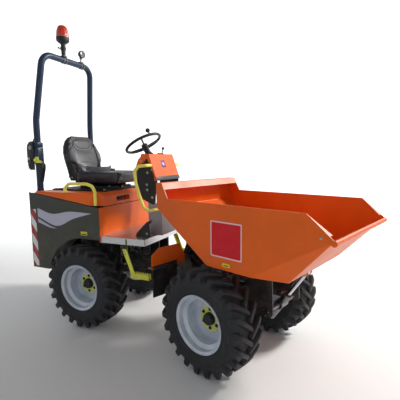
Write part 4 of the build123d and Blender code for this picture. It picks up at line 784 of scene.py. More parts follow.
def add_front_fittings():
    """Bolts on the front chassis, guard brackets, flap clamps, shielded hoses and the ram's fittings."""
    piece = Piece("front_fasteners", "front_frame", "black_paint", FRONT)
    for side in (-1, 1):
        piece.use("zinc")
        piece.bolts((0.662, 0.803), [side * 0.200], (0.450, 0.520), (0, side, 0), 0.022)
        piece.bolts((0.150, 0.190), [side * 0.200], (0.445, 0.505), (0, side, 0), 0.014)
        # pin of the skip's hinge: washer and nut
        piece.use("steel")
        washer = [(0, 0.031), (0.004, 0.031), (0.005, 0.029), (0.005, 0.0)]
        piece.lathe(washer, 32, (SKIP_HINGE_X, side * 0.2100, SKIP_HINGE_Z), (0, side, 0))
        piece.bolt((SKIP_HINGE_X, side * 0.215, SKIP_HINGE_Z), (0, side, 0), 0.030)
        # cap of the ram's trunnion
        piece.use("black")
        cap = [(0, 0.034), (0.006, 0.034), (0.008, 0.030), (0.008, 0.0)]
        piece.lathe(cap, 32, (RAM_FOOT[0], side * 0.2042, RAM_FOOT[2]), (0, side, 0))
        piece.use("zinc")
        for turn in range(3):
            angle = 2.1 * turn + 0.4
            x = RAM_FOOT[0] + 0.022 * math.cos(angle)
            z = RAM_FOOT[2] + 0.022 * math.sin(angle)
            piece.bolt((x, side * 0.2120, z), (0, side, 0), 0.009, False)
        # guard bracket
        piece.use("black")
        piece.slab(rectangle((0.202, 0.470), (0.700, 0.728)), "x", 0.2690, 0.2745, 0.0015)
        piece.use("bar_black")
        piece.bolts([0.269], (side * 0.235, side * 0.430), [0.714], (-1, 0, 0), 0.013)
        # flap clamp
        piece.use("black")
        piece.box((0.288, 0.2915), outward(side, 0.304, 0.548), (0.674, 0.692), 0.0008)
        piece.use("bar_black")
        ys = [side * y for y in (0.325, 0.395, 0.465, 0.530)]
        piece.bolts([0.2915], ys, [0.683], (1, 0, 0), 0.010)
    piece.place()

    piece = Piece("chassis_hoses", "front_frame", "black_plastic", FRONT)
    piece.use("black")
    shield = [(0.146, 0.585), (0.146, 0.780), (0.215, 0.960), (0.262, 0.985), (0.330, 0.950), (0.610, 0.765),
              (0.640, 0.700), (0.640, 0.585)]
    piece.slab(rounded(shield, 0.030), "y", -0.020, -0.015, 0.001)
    for x in (0.146, 0.634):
        piece.box((x, x + 0.006), (-0.060, 0.030), (0.585, 0.700), 0.001)
    for k in range(6):
        y = -0.036 - 0.024 * k
        peak = 0.960 - 0.052 * k
        reach = 0.130 + 0.018 * k
        hose(piece, [(0.152 + 0.010 * k, y, 0.600), (0.150 + 0.010 * k, y, 0.720 - 0.01 * k),
                     (0.185 + 0.014 * k, y, peak - 0.055), (0.250 + 0.014 * k, y, peak),
                     (0.330 + reach * 0.6, y, peak - 0.100 + 0.008 * k),
                     (0.420 + reach, y, 0.730 - 0.014 * k),
                     (0.440 + reach, y, 0.640), (0.440 + reach, y, 0.600)], 0.0115)
    piece.use("bar_black")
    piece.box((0.262, 0.286), (-0.172, -0.020), (0.700, 0.706), 0.001)
    piece.use("zinc")
    for z in (0.650, 0.830):
        piece.bolt((0.205, -0.020, z), (0, -1, 0), 0.013)
        piece.bolt((0.205, -0.015, z), (0, 1, 0), 0.013)
    piece.place()

    piece = Piece("ram_hoses", "tip_barrel", "black_plastic", FRONT)
    low = Vector(RAM_FOOT)
    way = (Vector(RAM_EYE) - low).normalized()
    back = Vector((-way.z, 0, way.x))
    for distance, reach in ((0.070, 0.0), (-0.128, 0.006)):
        foot = low + way * distance
        piece.use("zinc")
        piece.rod(foot + back * 0.026, foot + back * 0.046, 0.011, 6, bevel=0.001)
        piece.use("hose")
        piece.tube(smooth_line([foot + back * 0.044, foot + back * 0.062 - way * 0.006,
                                foot + back * 0.066 - way * 0.030]), 0.0078, 12)
    gland = [(0.079, 0.0301), (0.080, 0.0335), (0.093, 0.0335), (0.095, 0.031), (0.095, 0.0180)]
    piece.use("steel").lathe(gland, 40, low, way, caps=False)
    wiper = [(0.0952, 0.026), (0.098, 0.024), (0.099, 0.0190)]
    piece.use("plastic").lathe(wiper, 40, low, way, caps=False)
    piece.place()


def add_body_fittings():
    """Tape, a plain flash, labels, and dark rubber strips standing in for the shade under the cover, on the
    side panels; lamps, bolts and tow pin at the tail.
    """
    piece = Piece("panel_tape", "rear_frame", "charcoal_paint")
    flash_top = smooth_line([(-1.268, 0, 1.066), (-1.080, 0, 1.020), (-0.860, 0, 1.052), (-0.610, 0, 1.048)],
                            0.03)
    flash_low = smooth_line([(-0.610, 0, 1.047), (-0.820, 0, 0.990), (-1.030, 0, 0.910), (-1.268, 0, 0.985)],
                            0.03)
    flash = [(p.x, p.z) for p in flash_top] + [(p.x, p.z) for p in flash_low]
    second = [(-1.268, 0.965), (-1.110, 0.902), (-1.030, 0.885), (-1.110, 0.885), (-1.268, 0.930)]
    for side in (-1, 1):
        face = side * PANEL_FACE
        piece.use("tape").label(rectangle((-1.362, -1.294), (0.498, 1.052)), "y", face, side * 0.0005)
        piece.use("grey_label").label(flash, "y", face, side * 0.0005)
        piece.label(second, "y", face, side * 0.0005)
        piece.use("yellow_label")
        piece.label(rounded(rectangle((-0.742, -0.668), (0.846, 0.880)), 0.003), "y", face, side * 0.0005)
        piece.use("dark_label")
        piece.label(rectangle((-0.736, -0.674), (0.851, 0.862)), "y", face + side * 0.0005, side * 0.0002)
    piece.place()

    # painted shade: dark rubber strips inside each panel's sloping top edge, a ledge and an upright lip
    # below the cover, stand in for the shadow in the gap under the cover
    piece = Piece("panel_seals", "rear_frame", "flap_rubber")
    piece.use("hose")
    rear_height, fall, length = 1.214, 0.114, 0.840
    for side in (-1, 1):
        for near, far, low, high, front in ((0.434, 0.4605, -0.006, -0.003, -0.548),
                                            (0.434, 0.438, -0.003, 0.010, -0.606)):
            ends = [(x, rear_height - fall * (x - TAIL) / length) for x in (-1.262, front)]
            strip = [(x, z + low) for x, z in ends] + [(x, z + high) for x, z in reversed(ends)]
            piece.slab(strip, "y", side * near, side * far, 0.0005)
    piece.place()

    piece = Piece("tail_fittings", "rear_frame", "black_plastic")
    for side in (-1, 1):
        centre = (TAIL, side * 0.385, 1.085)
        piece.use("plastic")
        piece.lathe([(0, 0.052), (0.010, 0.052), (0.014, 0.049), (0.014, 0.043)], 40, centre, (-1, 0, 0))
        piece.use("red_lens")
        rings = [(0.012, 0.0435), (0.018, 0.042), (0.021, 0.034), (0.019, 0.028), (0.022, 0.020),
                 (0.023, 0.0)]
        piece.lathe(rings, 40, centre, (-1, 0, 0))
        piece.use("zinc")
        piece.bolts([TAIL], [side * 0.448], (0.505, 0.760, 1.020, 1.180), (-1, 0, 0))
    piece.use("zinc")
    piece.bolts([TAIL], (-0.260, 0.260), (0.740, 1.120), (-1, 0, 0))
    piece.bolts([-1.317], (-0.060, 0.060), (0.424, 0.514), (-1, 0, 0), 0.018)
    piece.place()

    piece = Piece("tow_pin", "rear_frame", "ram_steel")
    piece.use("zinc")
    pin = [(0, 0.0), (0.0, 0.0085), (0.006, 0.0115), (0.070, 0.0115), (0.078, 0.0115), (0.079, 0.018),
           (0.083, 0.018), (0.085, 0.015), (0.085, 0.0)]
    piece.lathe(pin, 28, (-1.400, 0, 0.4175), (0, 0, 1))
    ring = smooth_line([(-1.400, 0.004, 0.500), (-1.400, 0.020, 0.512), (-1.400, 0.010, 0.532),
                        (-1.400, -0.010, 0.532), (-1.400, -0.020, 0.512), (-1.400, -0.004, 0.500)])
    piece.tube(ring, 0.003, 8)
    piece.place()


def add_cover_fittings():
    """Latch in the hand recess, feet of the grab rails, deck bolts and the seat's knob and lever."""
    piece = Piece("cover_fittings", "cover", "black_plastic")
    piece.use("plastic")
    back = -0.5655
    piece.slab(rounded(rectangle((-0.190, -0.040), (1.143, 1.171)), 0.006), "x", back, back + 0.006, 0.001)
    piece.slab(rounded(rectangle((-0.160, -0.070), (1.147, 1.167)), 0.008), "x", back + 0.006, back + 0.014,
               0.002)
    piece.use("steel")
    piece.rod((back + 0.013, -0.086, 1.157), (back + 0.020, -0.086, 1.157), 0.008, 20, bevel=0.001)
    for side in (-1, 1):
        piece.use("rail_yellow")
        foot = [(0, 0.026), (0.004, 0.026), (0.005, 0.025), (0.005, 0.0145)]
        piece.lathe(foot, 32, (-0.925, side * 0.447, 1.225), (0, 0, 1), caps=False)
        piece.use("zinc")
        piece.bolts((-0.9445, -0.9055), [side * 0.447], [1.2295], (0, 0, 1), 0.007, False, True)
    piece.place()

    piece = Piece("deck_fittings", "cover", "black_plastic")
    piece.use("zinc")
    piece.bolts((-1.220, -0.620), (-0.275, 0.275), [1.237], (0, 0, 1))
    piece.bolts((-0.985, -0.660), (-0.152, 0.152), [1.262], (0, 0, 1), 0.010)
    # seat's weight knob and slide lever
    piece.use("plastic")
    piece.rod((-0.655, 0.0, 1.250), (-0.622, 0.0, 1.250), 0.017, 24, bevel=0.003)
    piece.tube(smooth_line([(-0.640, 0.120, 1.300), (-0.600, 0.125, 1.298), (-0.560, 0.150, 1.296),
                            (-0.540, 0.190, 1.300)]), 0.005, 10)
    piece.use("grip")
    piece.rod((-0.544, 0.182, 1.2995), (-0.536, 0.205, 1.3005), 0.009, 16, bevel=0.003)
    piece.place()


def add_engine():
    """Engine with ribbed crankcase, head, rocker cover, pulleys, fan, air filter and silencer."""
    piece = Piece("engine_detail", "rear_frame", "engine_iron")
    piece.use("iron")
    piece.box((-1.080, -0.780), (-0.130, 0.130), (0.602, 0.700), 0.006)
    piece.box((-1.060, -0.790), (-0.105, 0.105), (0.695, 0.880), 0.006)
    for k in range(6):
        x = -1.035 + 0.045 * k
        piece.box((x, x + 0.012), (-0.116, 0.116), (0.705, 0.865), 0.002)
    piece.box((-1.070, -0.785), (-0.095, 0.095), (0.884, 0.950), 0.004)
    piece.rod((-0.782, 0, 0.690), (-0.702, 0, 0.690), 0.118, 48, bevel=0.006)
    piece.use("black")
    piece.slab(rounded(rectangle((-0.070, 0.070), (0.950, 1.010)), 0.02), "x", -1.050, -0.800, 0.004)
    piece.rod((-1.145, 0, 0.690), (-1.085, 0, 0.690), 0.060, 40, bevel=0.004)
    piece.rod((-1.140, 0, 0.850), (-1.085, 0, 0.850), 0.040, 40, bevel=0.004)
    for k in range(6):
        angle = math.pi / 3 * k
        way = Vector((0, math.cos(angle), math.sin(angle)))
        aside = Vector((0.35, -math.sin(angle), math.cos(angle))) * 0.022
        hub = Vector((-1.125, 0, 0.850))
        row = [hub + way * 0.035 - aside, hub + way * 0.035 + aside, hub + way * 0.125 + aside * 1.3,
               hub + way * 0.125 - aside * 1.3]
        piece.skin([row, [p + Vector((-0.003, 0, 0)) for p in row]])
    piece.use("hose")
    belt = circle((-1.128, 0, 0.690), (1, 0, 0), 0.062, 20)
    piece.tube(belt, 0.005, 8, closed=True)
    piece.use("plastic")
    piece.rod((-1.060, 0.150, 0.960), (-0.860, 0.150, 0.960), 0.048, 40, bevel=0.006)
    piece.tube(smooth_line([(-0.862, 0.150, 0.960), (-0.820, 0.145, 0.955), (-0.800, 0.120, 0.930),
                            (-0.810, 0.090, 0.915)]), 0.024, 20)
    piece.use("steel")
    piece.rod((-1.020, -0.150, 0.900), (-0.800, -0.150, 0.900), 0.046, 40, bevel=0.008)
    piece.tube(smooth_line([(-1.020, -0.150, 0.900), (-1.070, -0.150, 0.895), (-1.095, -0.155, 0.860),
                            (-1.098, -0.160, 0.780)]), 0.019, 20)
    piece.use("zinc")
    for k in range(5):
        piece.bolt((-1.050 + 0.060 * k, 0.095, 0.905), (0, 1, 0), 0.014)
        piece.bolt((-1.050 + 0.060 * k, -0.095, 0.905), (0, -1, 0), 0.014)
    for k in range(4):
        piece.bolt((-1.020 + 0.070 * k, 0.0, 1.010), (0, 0, 1), 0.014)
    piece.place(replaces=["engine_block"])


def hose(piece, points, radius=0.0085):
    """A crimped hydraulic hose between two fittings on one body."""
    points = [Vector(p) for p in points]
    piece.use("hose").tube(smooth_line(points, 0.012), radius, 12)
    piece.use("zinc")
    for end, following in ((points[0], points[1]), (points[-1], points[-2])):
        way = (following - end).normalized()
        piece.rod(end - way * 0.002, end + way * 0.022, radius * 1.25, 20, bevel=0.001)
        piece.rod(end - way * 0.014, end - way * 0.002, radius * 1.5, 6)


VALVE_HOSES = (
    [(-0.4055, -0.262, 0.735), (-0.4055, -0.300, 0.700), (-0.440, -0.290, 0.640), (-0.500, -0.220, 0.560),
     (-0.512, -0.150, 0.520)],
    [(-0.3535, -0.262, 0.735), (-0.345, -0.305, 0.690), (-0.320, -0.280, 0.600), (-0.285, -0.200, 0.530),
     (-0.255, -0.120, 0.500)],
    [(-0.3015, -0.262, 0.735), (-0.270, -0.292, 0.715), (-0.205, -0.270, 0.650), (-0.165, -0.180, 0.590),
     (-0.160, -0.106, 0.560)],
    [(-0.3015, -0.240, 0.695), (-0.290, -0.262, 0.660), (-0.240, -0.240, 0.610), (-0.215, -0.160, 0.560),
     (-0.200, -0.106, 0.540)],
)
STEERING_HOSES = (
    [(-0.420, 0.110, 0.640), (-0.400, 0.190, 0.650), (-0.330, 0.240, 0.640), (-0.260, 0.230, 0.600),
     (-0.220, 0.180, 0.585), (-0.215, 0.110, 0.575)],
    [(-0.480, 0.110, 0.620), (-0.470, 0.200, 0.640), (-0.400, 0.262, 0.660), (-0.310, 0.262, 0.630),
     (-0.262, 0.200, 0.560), (-0.255, 0.112, 0.545)],
)


def add_hydraulics():
    """Valve block, filter, a box with caps and hoses below the footplate."""
    piece = Piece("valve_block", "rear_frame", "engine_iron")
    piece.use("steel")
    for k in range(3):
        x = -0.430 + 0.052 * k
        piece.box((x, x + 0.049), (-0.215, -0.120), (0.672, 0.760), 0.003)
    piece.use("iron")
    for k in range(3):
        x = -0.4055 + 0.052 * k
        piece.rod((x, -0.215, 0.735), (x, -0.262, 0.735), 0.015, 24, bevel=0.003)
        piece.rod((x, -0.215, 0.695), (x, -0.240, 0.695), 0.012, 6, bevel=0.001)
    piece.box((-0.440, -0.270), (-0.200, -0.094), (0.764, 0.776), 0.002)
    piece.use("plastic")
    piece.rod((-0.235, -0.190, 0.660), (-0.235, -0.190, 0.790), 0.038, 32, bevel=0.006)
    piece.use("iron")
    piece.rod((-0.235, -0.190, 0.788), (-0.235, -0.190, 0.812), 0.042, 32, bevel=0.004)
    for line in VALVE_HOSES:
        hose(piece, line)
    piece.place()

    piece = Piece("steer_hoses", "rear_frame", "black_plastic")
    for line in STEERING_HOSES:
        hose(piece, line)
    piece.use("plastic")
    piece.box((-0.500, -0.330), (0.110, 0.210), (0.690, 0.790), 0.010)
    piece.use("zinc")
    for x in (-0.470, -0.360):
        piece.rod((x, 0.160, 0.788), (x, 0.160, 0.802), 0.010, 20, bevel=0.002)
    piece.use("red_button")
    piece.rod((-0.470, 0.160, 0.802), (-0.470, 0.160, 0.812), 0.013, 20, bevel=0.003)
    piece.place()


def add_footplate_fittings():
    """Ribbed pads on the pedals, and bolts at the pedestal's foot and near the plate's sides."""
    piece = Piece("pedal_pads", "rear_frame", "black_plastic")
    foot, top = Vector((-0.2505, 0, 0.8560)), Vector((-0.1170, 0, 0.9890))
    way = (top - foot).normalized()
    out = Vector((-way.z, 0, way.x))
    for y in (-0.300, 0.300):
        piece.use("grip")
        a, b = foot + way * 0.012, top - way * 0.010
        rows = []
        for s in (-0.027, 0.027):
            rows.append([p + Vector((0, y + s, 0)) for p in (a, b, b + out * 0.006, a + out * 0.006)])
        piece.skin(rows, bevel=0.001)
        for k in range(9):
            start = a + way * (0.010 + 0.0168 * k) + out * 0.0058
            rows = [[start + Vector((0, y + s, 0)), start + way * 0.007 + Vector((0, y + s, 0)),
                     start + way * 0.0055 + out * 0.0035 + Vector((0, y + s, 0)),
                     start + way * 0.0015 + out * 0.0035 + Vector((0, y + s, 0))] for s in (-0.024, 0.024)]
            piece.skin(rows)
        piece.use("zinc")
        piece.bolt((-0.130, y - 0.030, 0.880), (0, -1, 0), 0.012)
    piece.place()

    piece = Piece("footplate_bolts", "rear_frame", "tread_plate")
    piece.use("zinc")
    for side in (-1, 1):
        piece.bolts((-0.182, -0.124), [side * 0.205], [0.858], (0, 0, 1))
        piece.bolts((-0.500, -0.145), [side * 0.395], [0.850], (0, 0, 1), 0.011, True, True)
    piece.place()


def add_steps():
    """Steps: a leaning folded hanger, and a tread with a slotted face and saw-toothed top edges."""
    x0, x1, low, high, teeth = -0.222, -0.046, 0.514, 0.556, 8
    pitch = (x1 - x0) / teeth
    edge = []
    for tooth in range(teeth):
        left = x0 + tooth * pitch
        edge += [(left + pitch * 0.14, high), (left + pitch * 0.34, high + 0.009),
                 (left + pitch * 0.58, high + 0.009), (left + pitch * 0.80, high)]
    outline = [(x0, low), (x0, high), *edge, (x1, high), (x1, low)]
    hanger = rounded([(-0.312, 0.757), (-0.268, 0.757), (-0.190, 0.556), (-0.190, low), (-0.232, low),
                      (-0.232, 0.562)],
                     0.009)
    for side, name in ((1, "left"), (-1, "right")):
        piece = Piece("step_tread_" + name, "rear_frame", "yellow_paint")
        piece.use("lime")
        for y in (0.4130, 0.4455):
            piece.slab(outline, "y", side * y, side * (y + 0.0045), 0.0006)
        inside = outward(side, 0.4170, 0.4460)
        rib = outward(side, 0.4495, 0.4510)
        for tooth in range(teeth):
            x = x0 + (tooth + 0.06) * pitch
            piece.box((x, x + 0.0045), inside, (low + 0.004, high - 0.002), 0.0006)
            piece.box((x + 0.008, x + 0.012), rib, (low + 0.008, high - 0.008), 0.0004)
        piece.box((x0, x1), inside, (low, low + 0.004), 0.0006)
        piece.slab(hanger, "y", side * 0.4395, side * 0.4450, 0.0012)
        flange = [(-0.312, 0.752), (-0.232, 0.562), (-0.232, 0.520), (-0.227, 0.520), (-0.227, 0.563),
                  (-0.307, 0.753)]
        piece.slab(flange, "y", side * 0.4170, side * 0.4400, 0.0006)
        piece.use("black")
        bracket = rounded([(-0.330, 0.700), (-0.262, 0.700), (-0.262, 0.845), (-0.330, 0.845)], 0.008)
        piece.slab(bracket, "y", side * 0.4330, side * 0.4390, 0.001)
        piece.box((-0.330, -0.262), outward(side, 0.346, 0.4330), (0.7900, 0.7945), 0.001)
        piece.use("zinc")
        for x, z in ((-0.290, 0.740), (-0.2795, 0.715)):
            piece.bolt((x, side * 0.4450, z), (0, side, 0), 0.009)
        piece.place(replaces=["step_" + name])


def add_console_fittings():
    """Plate bolts, trim, lever, switches, gauge, the column's gaiter and the steering wheel's cap."""
    piece = Piece("console_bolts", "rear_frame", "black_paint")
    piece.use("zinc")
    for side in (-1, 1):
        for x, z in ((-0.196, 1.398), (-0.204, 1.292), (-0.202, 1.246), (-0.152, 1.180)):
            piece.bolt((x, side * 0.198, z), (0, side, 0), 0.013)
        for x, z in ((-0.252, 1.500), (-0.140, 1.425)):
            piece.bolt((x, side * 0.212, z), (0, side, 0), 0.010, True, True)
    piece.place()

    piece = Piece("console_trim", "rear_frame", "black_plastic")
    low, high = Vector((-0.0900, 0, 1.3290)), Vector((-0.1700, 0, 1.5630))
    up = (high - low).normalized()
    out = Vector((up.z, 0, -up.x))

    def plate(a0, a1, y0, y1, lift, thick):
        """A plate on the hood's slanted front, from a0 to a1 up it and from y0 to y1 across it."""
        rows = [[low + up * a + out * h + Vector((0, y, 0)) for a,
                 y in ((a0, y0), (a0, y1), (a1, y1), (a1, y0))]
                for h in (lift, lift + thick)]
        piece.skin(rows, bevel=thick * 0.3)

    piece.use("dark_label")
    plate(0.000, 0.036, -0.2115, 0.2115, 0.0002, 0.0022)
    piece.use("plum_label")
    plate(0.118, 0.186, -0.052, 0.020, 0.0002, 0.0005)
    piece.use("pale_label")
    plate(0.138, 0.166, -0.030, -0.002, 0.0007, 0.0003)
    piece.use("plastic")
    lever = [(-0.196, 0.060, 1.560), (-0.194, 0.061, 1.585), (-0.188, 0.064, 1.606)]
    piece.tube(smooth_line(lever), 0.0045, 10)
    knob = [(-0.013, 0.0), (-0.011, 0.008), (-0.006, 0.0125), (0, 0.014), (0.006, 0.0125), (0.011, 0.008),
            (0.013, 0.0)]
    piece.lathe(knob, 24, (-0.186, 0.065, 1.616), (0.2, 0.05, 1))
    boot = [(0, 0.020), (0.004, 0.019), (0.010, 0.012), (0.013, 0.007)]
    piece.lathe(boot, 24, (-0.197, 0.060, 1.560), (0, 0, 1))
    for y in (0.000, 0.024):
        piece.box((-0.206, -0.186), (y - 0.008, y + 0.008), (1.5605, 1.5720), 0.002)
    # gauge, key switch and stop button face the operator
    face = Vector((-0.655, 0, 0.756)).normalized()
    gauge = Vector((-0.2555, 0.118, 1.5405))
    bezel = [(0, 0.031), (0.008, 0.031), (0.010, 0.029), (0.010, 0.0255), (0.006, 0.025)]
    piece.lathe(bezel, 40, gauge, face, caps=False)
    piece.use("clear_lens").lathe([(0.0055, 0.0262), (0.0075, 0.0255), (0.0085, 0.0)], 40, gauge, face)
    piece.use("zinc")
    key = Vector((-0.2555, -0.118, 1.5405))
    piece.lathe([(0, 0.014), (0.006, 0.014), (0.008, 0.012), (0.008, 0.0)], 28, key, face)
    piece.skin([[key + face * h + Vector((0, s, 0)) + Vector((face.z, 0, -face.x)) * t
                 for s, t in ((-0.0012, -0.007), (0.0012, -0.007), (0.0012, 0.007), (-0.0012, 0.007))]
                for h in (0.008, 0.030)])
    piece.use("red_button")
    stop = Vector((-0.2555, -0.165, 1.5405))
    button = [(0, 0.010), (0.010, 0.010), (0.011, 0.017), (0.018, 0.018), (0.022, 0.014), (0.023, 0.0)]
    piece.lathe(button, 32, stop, face)
    piece.place()

    piece = Piece("column_gaiter", "rear_frame", "black_plastic")
    axis = Vector((-math.sin(COLUMN_LEAN), 0, math.cos(COLUMN_LEAN)))
    foot = Vector(COLUMN_TOP) - axis * 0.178
    piece.use("bellows")
    profile = [(0.000, 0.058), (0.010, 0.056), (0.018, 0.044), (0.024, 0.049), (0.032, 0.040),
               (0.038, 0.045),
               (0.046, 0.036), (0.052, 0.041), (0.060, 0.0325), (0.072, 0.0315), (0.074, 0.0283)]
    piece.lathe(profile, 40, foot, axis, caps=False)
    piece.place()

    piece = Piece("steering_cap", "steering_wheel", "black_plastic")
    hub = Vector(COLUMN_TOP) - axis * 0.040
    cap = [(0.0230, 0.0285), (0.0265, 0.0280), (0.0285, 0.024), (0.0290, 0.0)]
    piece.use("plastic").lathe(cap, 40, hub, axis)
    piece.place()


def add_roll_bar_fittings():
    """Lower posts with sleeve, hinge plates, nose and lock pin; the hoop's own sleeve."""
    piece = Piece("post_detail", "rear_frame", "black_paint")
    quarter = [math.pi / 2 * k / 10 for k in range(11)]
    arc = [(-1.372 - 0.062 * math.sin(a), 1.628 + 0.070 * math.cos(a)) for a in quarter]
    plate = [(-1.342, 1.698), *arc, (-1.434, 1.500), (-1.416, 1.440), (-1.404, 1.424), (-1.342, 1.424)]
    nose = rounded([(-1.352, 1.492), (-1.276, 1.492), (-1.262, 1.474), (-1.262, 1.440), (-1.302, 1.305),
                    (-1.352, 1.305)], 0.008)
    for side in (-1, 1):
        centre = side * POST_Y
        piece.use("bar_black")
        piece.rod((POST_X, centre, 0.602), (POST_X, centre, 1.630), 0.030, 40)
        piece.box((-1.366, -1.294), (centre - 0.0335, centre + 0.0335), (1.492, 1.6365), 0.004)
        piece.use("black")
        for out in (-1, 1):
            ys = sorted((centre + out * 0.0362, centre + out * 0.0425))
            piece.slab(plate, "y", *ys, 0.001)
            packing = sorted((centre + out * 0.0330, centre + out * 0.0364))
            piece.box((-1.366, -1.330), packing, (1.500, 1.560), 0.0005)
        piece.slab(nose, "y", centre - 0.0215, centre + 0.0215, 0.004)
        collar = [(0, 0.0435), (0.006, 0.0435), (0.008, 0.041), (0.009, 0.0335), (0.030, 0.0320),
                  (0.031, 0.0302)]
        piece.lathe(collar, 40, (POST_X, centre, 1.2055), (0, 0, 1), caps=False)
        piece.use("zinc")
        for turn in range(4):
            angle = math.pi / 2 * turn + math.pi / 4
            spot = (POST_X + 0.0375 * math.cos(angle), centre + 0.0375 * math.sin(angle), 1.2135)
            piece.bolt(spot, (0, 0, 1), 0.007, False, True)
        piece.rod((BAR_HINGE_X, centre - 0.0425, BAR_HINGE_Z), (BAR_HINGE_X, centre + 0.0425, BAR_HINGE_Z),
                  0.0098, 24)
        stud = [(0, 0.016), (0.004, 0.016), (0.005, 0.014), (0.006, 0.006), (0.006, 0.0)]
        for out in (-1, 1):
            piece.bolt((BAR_HINGE_X, centre + out * 0.0425, BAR_HINGE_Z), (0, out, 0), 0.022)
            piece.lathe(stud, 28, (-1.412, centre + out * 0.0425, 1.530), (0, out, 0))
        # clip on its ring, hanging from the plate
        piece.use("steel")
        outer = side * 0.0485
        ring = circle((-1.408, centre + outer, 1.500), (0.15, 1, 0.1), 0.021, 28)
        piece.tube(ring, 0.0020, 8, closed=True)
        ring = circle((-1.414, centre + outer + side * 0.004, 1.452), (0.4, 1, 0), 0.018, 28)
        piece.tube(ring, 0.0020, 8, closed=True)
        piece.rod((-1.420, centre + outer, 1.478), (-1.386, centre + outer, 1.516), 0.0030, 10)
        # yellow handle of the lock pin, through the sleeve's foot
        piece.use("steel")
        piece.rod((-1.318, centre - 0.046, 1.520), (-1.318, centre + 0.046, 1.520), 0.0075, 20)
        piece.use("lime")
        strap = rounded([(-1.328, 1.493), (-1.246, 1.488), (-1.238, 1.506), (-1.284, 1.522), (-1.288, 1.550),
                         (-1.326, 1.550)], 0.005)
        piece.slab(strap, "y", *sorted((centre + side * 0.0365, centre + side * 0.0450)), 0.0015)
        knob = [(0, 0.013), (0.004, 0.016), (0.012, 0.015), (0.015, 0.010), (0.0155, 0.0)]
        piece.lathe(knob, 24, (-1.318, centre + side * 0.0445, 1.520), (0, side, 0))
    piece.place(replaces=["roll_bar_posts"])

    piece = Piece("hoop_sleeve", "roll_bar", "black_paint")
    piece.use("bar_black")
    for side in (-1, 1):
        centre = side * POST_Y
        piece.box((-1.364, -1.295), (centre - 0.0330, centre + 0.0330), (1.6385, 1.6860), 0.004)
        weld = [(0, 0.0325), (0.004, 0.0315), (0.006, 0.0300)]
        piece.lathe(weld, 40, (POST_X, centre, 1.686), (0, 0, 1), caps=False)
    piece.place()


def add_beacon():
    """Beacon with a ribbed lens in a clamp ring on a socket, and the work lamp; clamps hold both."""
    centre = (CROSSBAR_X, -0.052)
    piece = Piece("beacon_detail", "roll_bar", "beacon_lens")
    piece.use("bar_black")
    piece.rod((*centre, 2.542), (*centre, 2.600), 0.0115, 24)
    piece.use("plastic")
    base = [(-0.118, 0.0), (-0.118, 0.019), (-0.060, 0.021), (-0.056, 0.027), (-0.030, 0.028),
            (-0.026, 0.0215),
            (0.000, 0.024), (0.006, 0.036), (0.020, 0.054), (0.030, 0.062), (0.058, 0.0635), (0.064, 0.061),
            (0.064, 0.0)]
    piece.lathe(base, 48, (*centre, 2.672), (0, 0, 1))
    piece.rod((centre[0], centre[1] - 0.020, 2.612), (centre[0], centre[1] - 0.058, 2.620), 0.0045, 12)
    knob = [(centre[0], centre[1] - 0.056, 2.6195), (centre[0], centre[1] - 0.066, 2.6215)]
    piece.rod(*knob, 0.008, 16, bevel=0.002)
    band = [(0.0, 0.0625), (0.001, 0.0642), (0.006, 0.0642), (0.007, 0.0625)]
    piece.use("steel").lathe(band, 48, (*centre, 2.729), (0, 0, 1), caps=False)
    piece.use("red_lens")
    rows = []
    for z, radius in ((2.736, 0.0605), (2.742, 0.0612), (2.765, 0.0600), (2.792, 0.0565), (2.815, 0.0510),
                      (2.832, 0.0430), (2.843, 0.0320), (2.8485, 0.0180), (2.8497, 0.0)):
        groove = 0.0012 if radius > 0.045 else 0.0
        row = []
        for k, angle in enumerate(turns(96)):
            r = max(0.00001, radius - groove * (k % 2))
            row.append((centre[0] + r * math.cos(angle), centre[1] + r * math.sin(angle), z))
        rows.append(row)
    piece.skin(rows)
    # saddle and its clamp round the crossbar
    piece.use("zinc")
    for dy in (-0.015, 0.015):
        loop = [(CROSSBAR_X + CLAMP_RADIUS * math.sin(a), centre[1] + dy,
                 CROSSBAR_Z + CLAMP_RADIUS * math.cos(a))
                for a in turns(32)]
        piece.tube(loop, 0.0028, 8, closed=True)
    piece.use("bar_black")
    piece.box((-1.272, -1.228), (centre[1] - 0.022, centre[1] + 0.022), (2.546, 2.558), 0.002)
    piece.place(replaces=["beacon"])

    lamp = Piece("lamp_detail", "roll_bar", "black_plastic")
    y, z = 0.186, 2.632
    lamp.use("zinc")
    for dy in (-0.014, 0.014):
        loop = circle((CROSSBAR_X, y + dy, CROSSBAR_Z), (0, 1, 0), CLAMP_RADIUS, 32)
        lamp.tube(loop, 0.0028, 8, closed=True)
    lamp.use("bar_black")
    lamp.box((-1.270, -1.230), (y - 0.020, y + 0.020), (2.546, 2.557), 0.002)
    lamp.rod((CROSSBAR_X, y, 2.555), (CROSSBAR_X, y, 2.596), 0.006, 16)
    lamp.box((-1.258, -1.242), (y - 0.012, y + 0.012), (2.585, 2.602), 0.002)
    lamp.use("plastic")
    shell = [(-0.022, 0.0), (-0.021, 0.012), (-0.012, 0.026), (0.004, 0.0365), (0.022, 0.0385),
             (0.0285, 0.0385), (0.0285, 0.0350), (0.024, 0.0345)]
    lamp.lathe(shell, 48, (CROSSBAR_X, y, z), (1, 0, 0), caps=False)
    glass = [(0.0235, 0.0348), (0.0262, 0.0300), (0.0275, 0.0160), (0.0280, 0.0)]
    lamp.use("clear_lens").lathe(glass, 48, (CROSSBAR_X, y, z), (1, 0, 0))
    lamp.place(replaces=["work_lamp"])


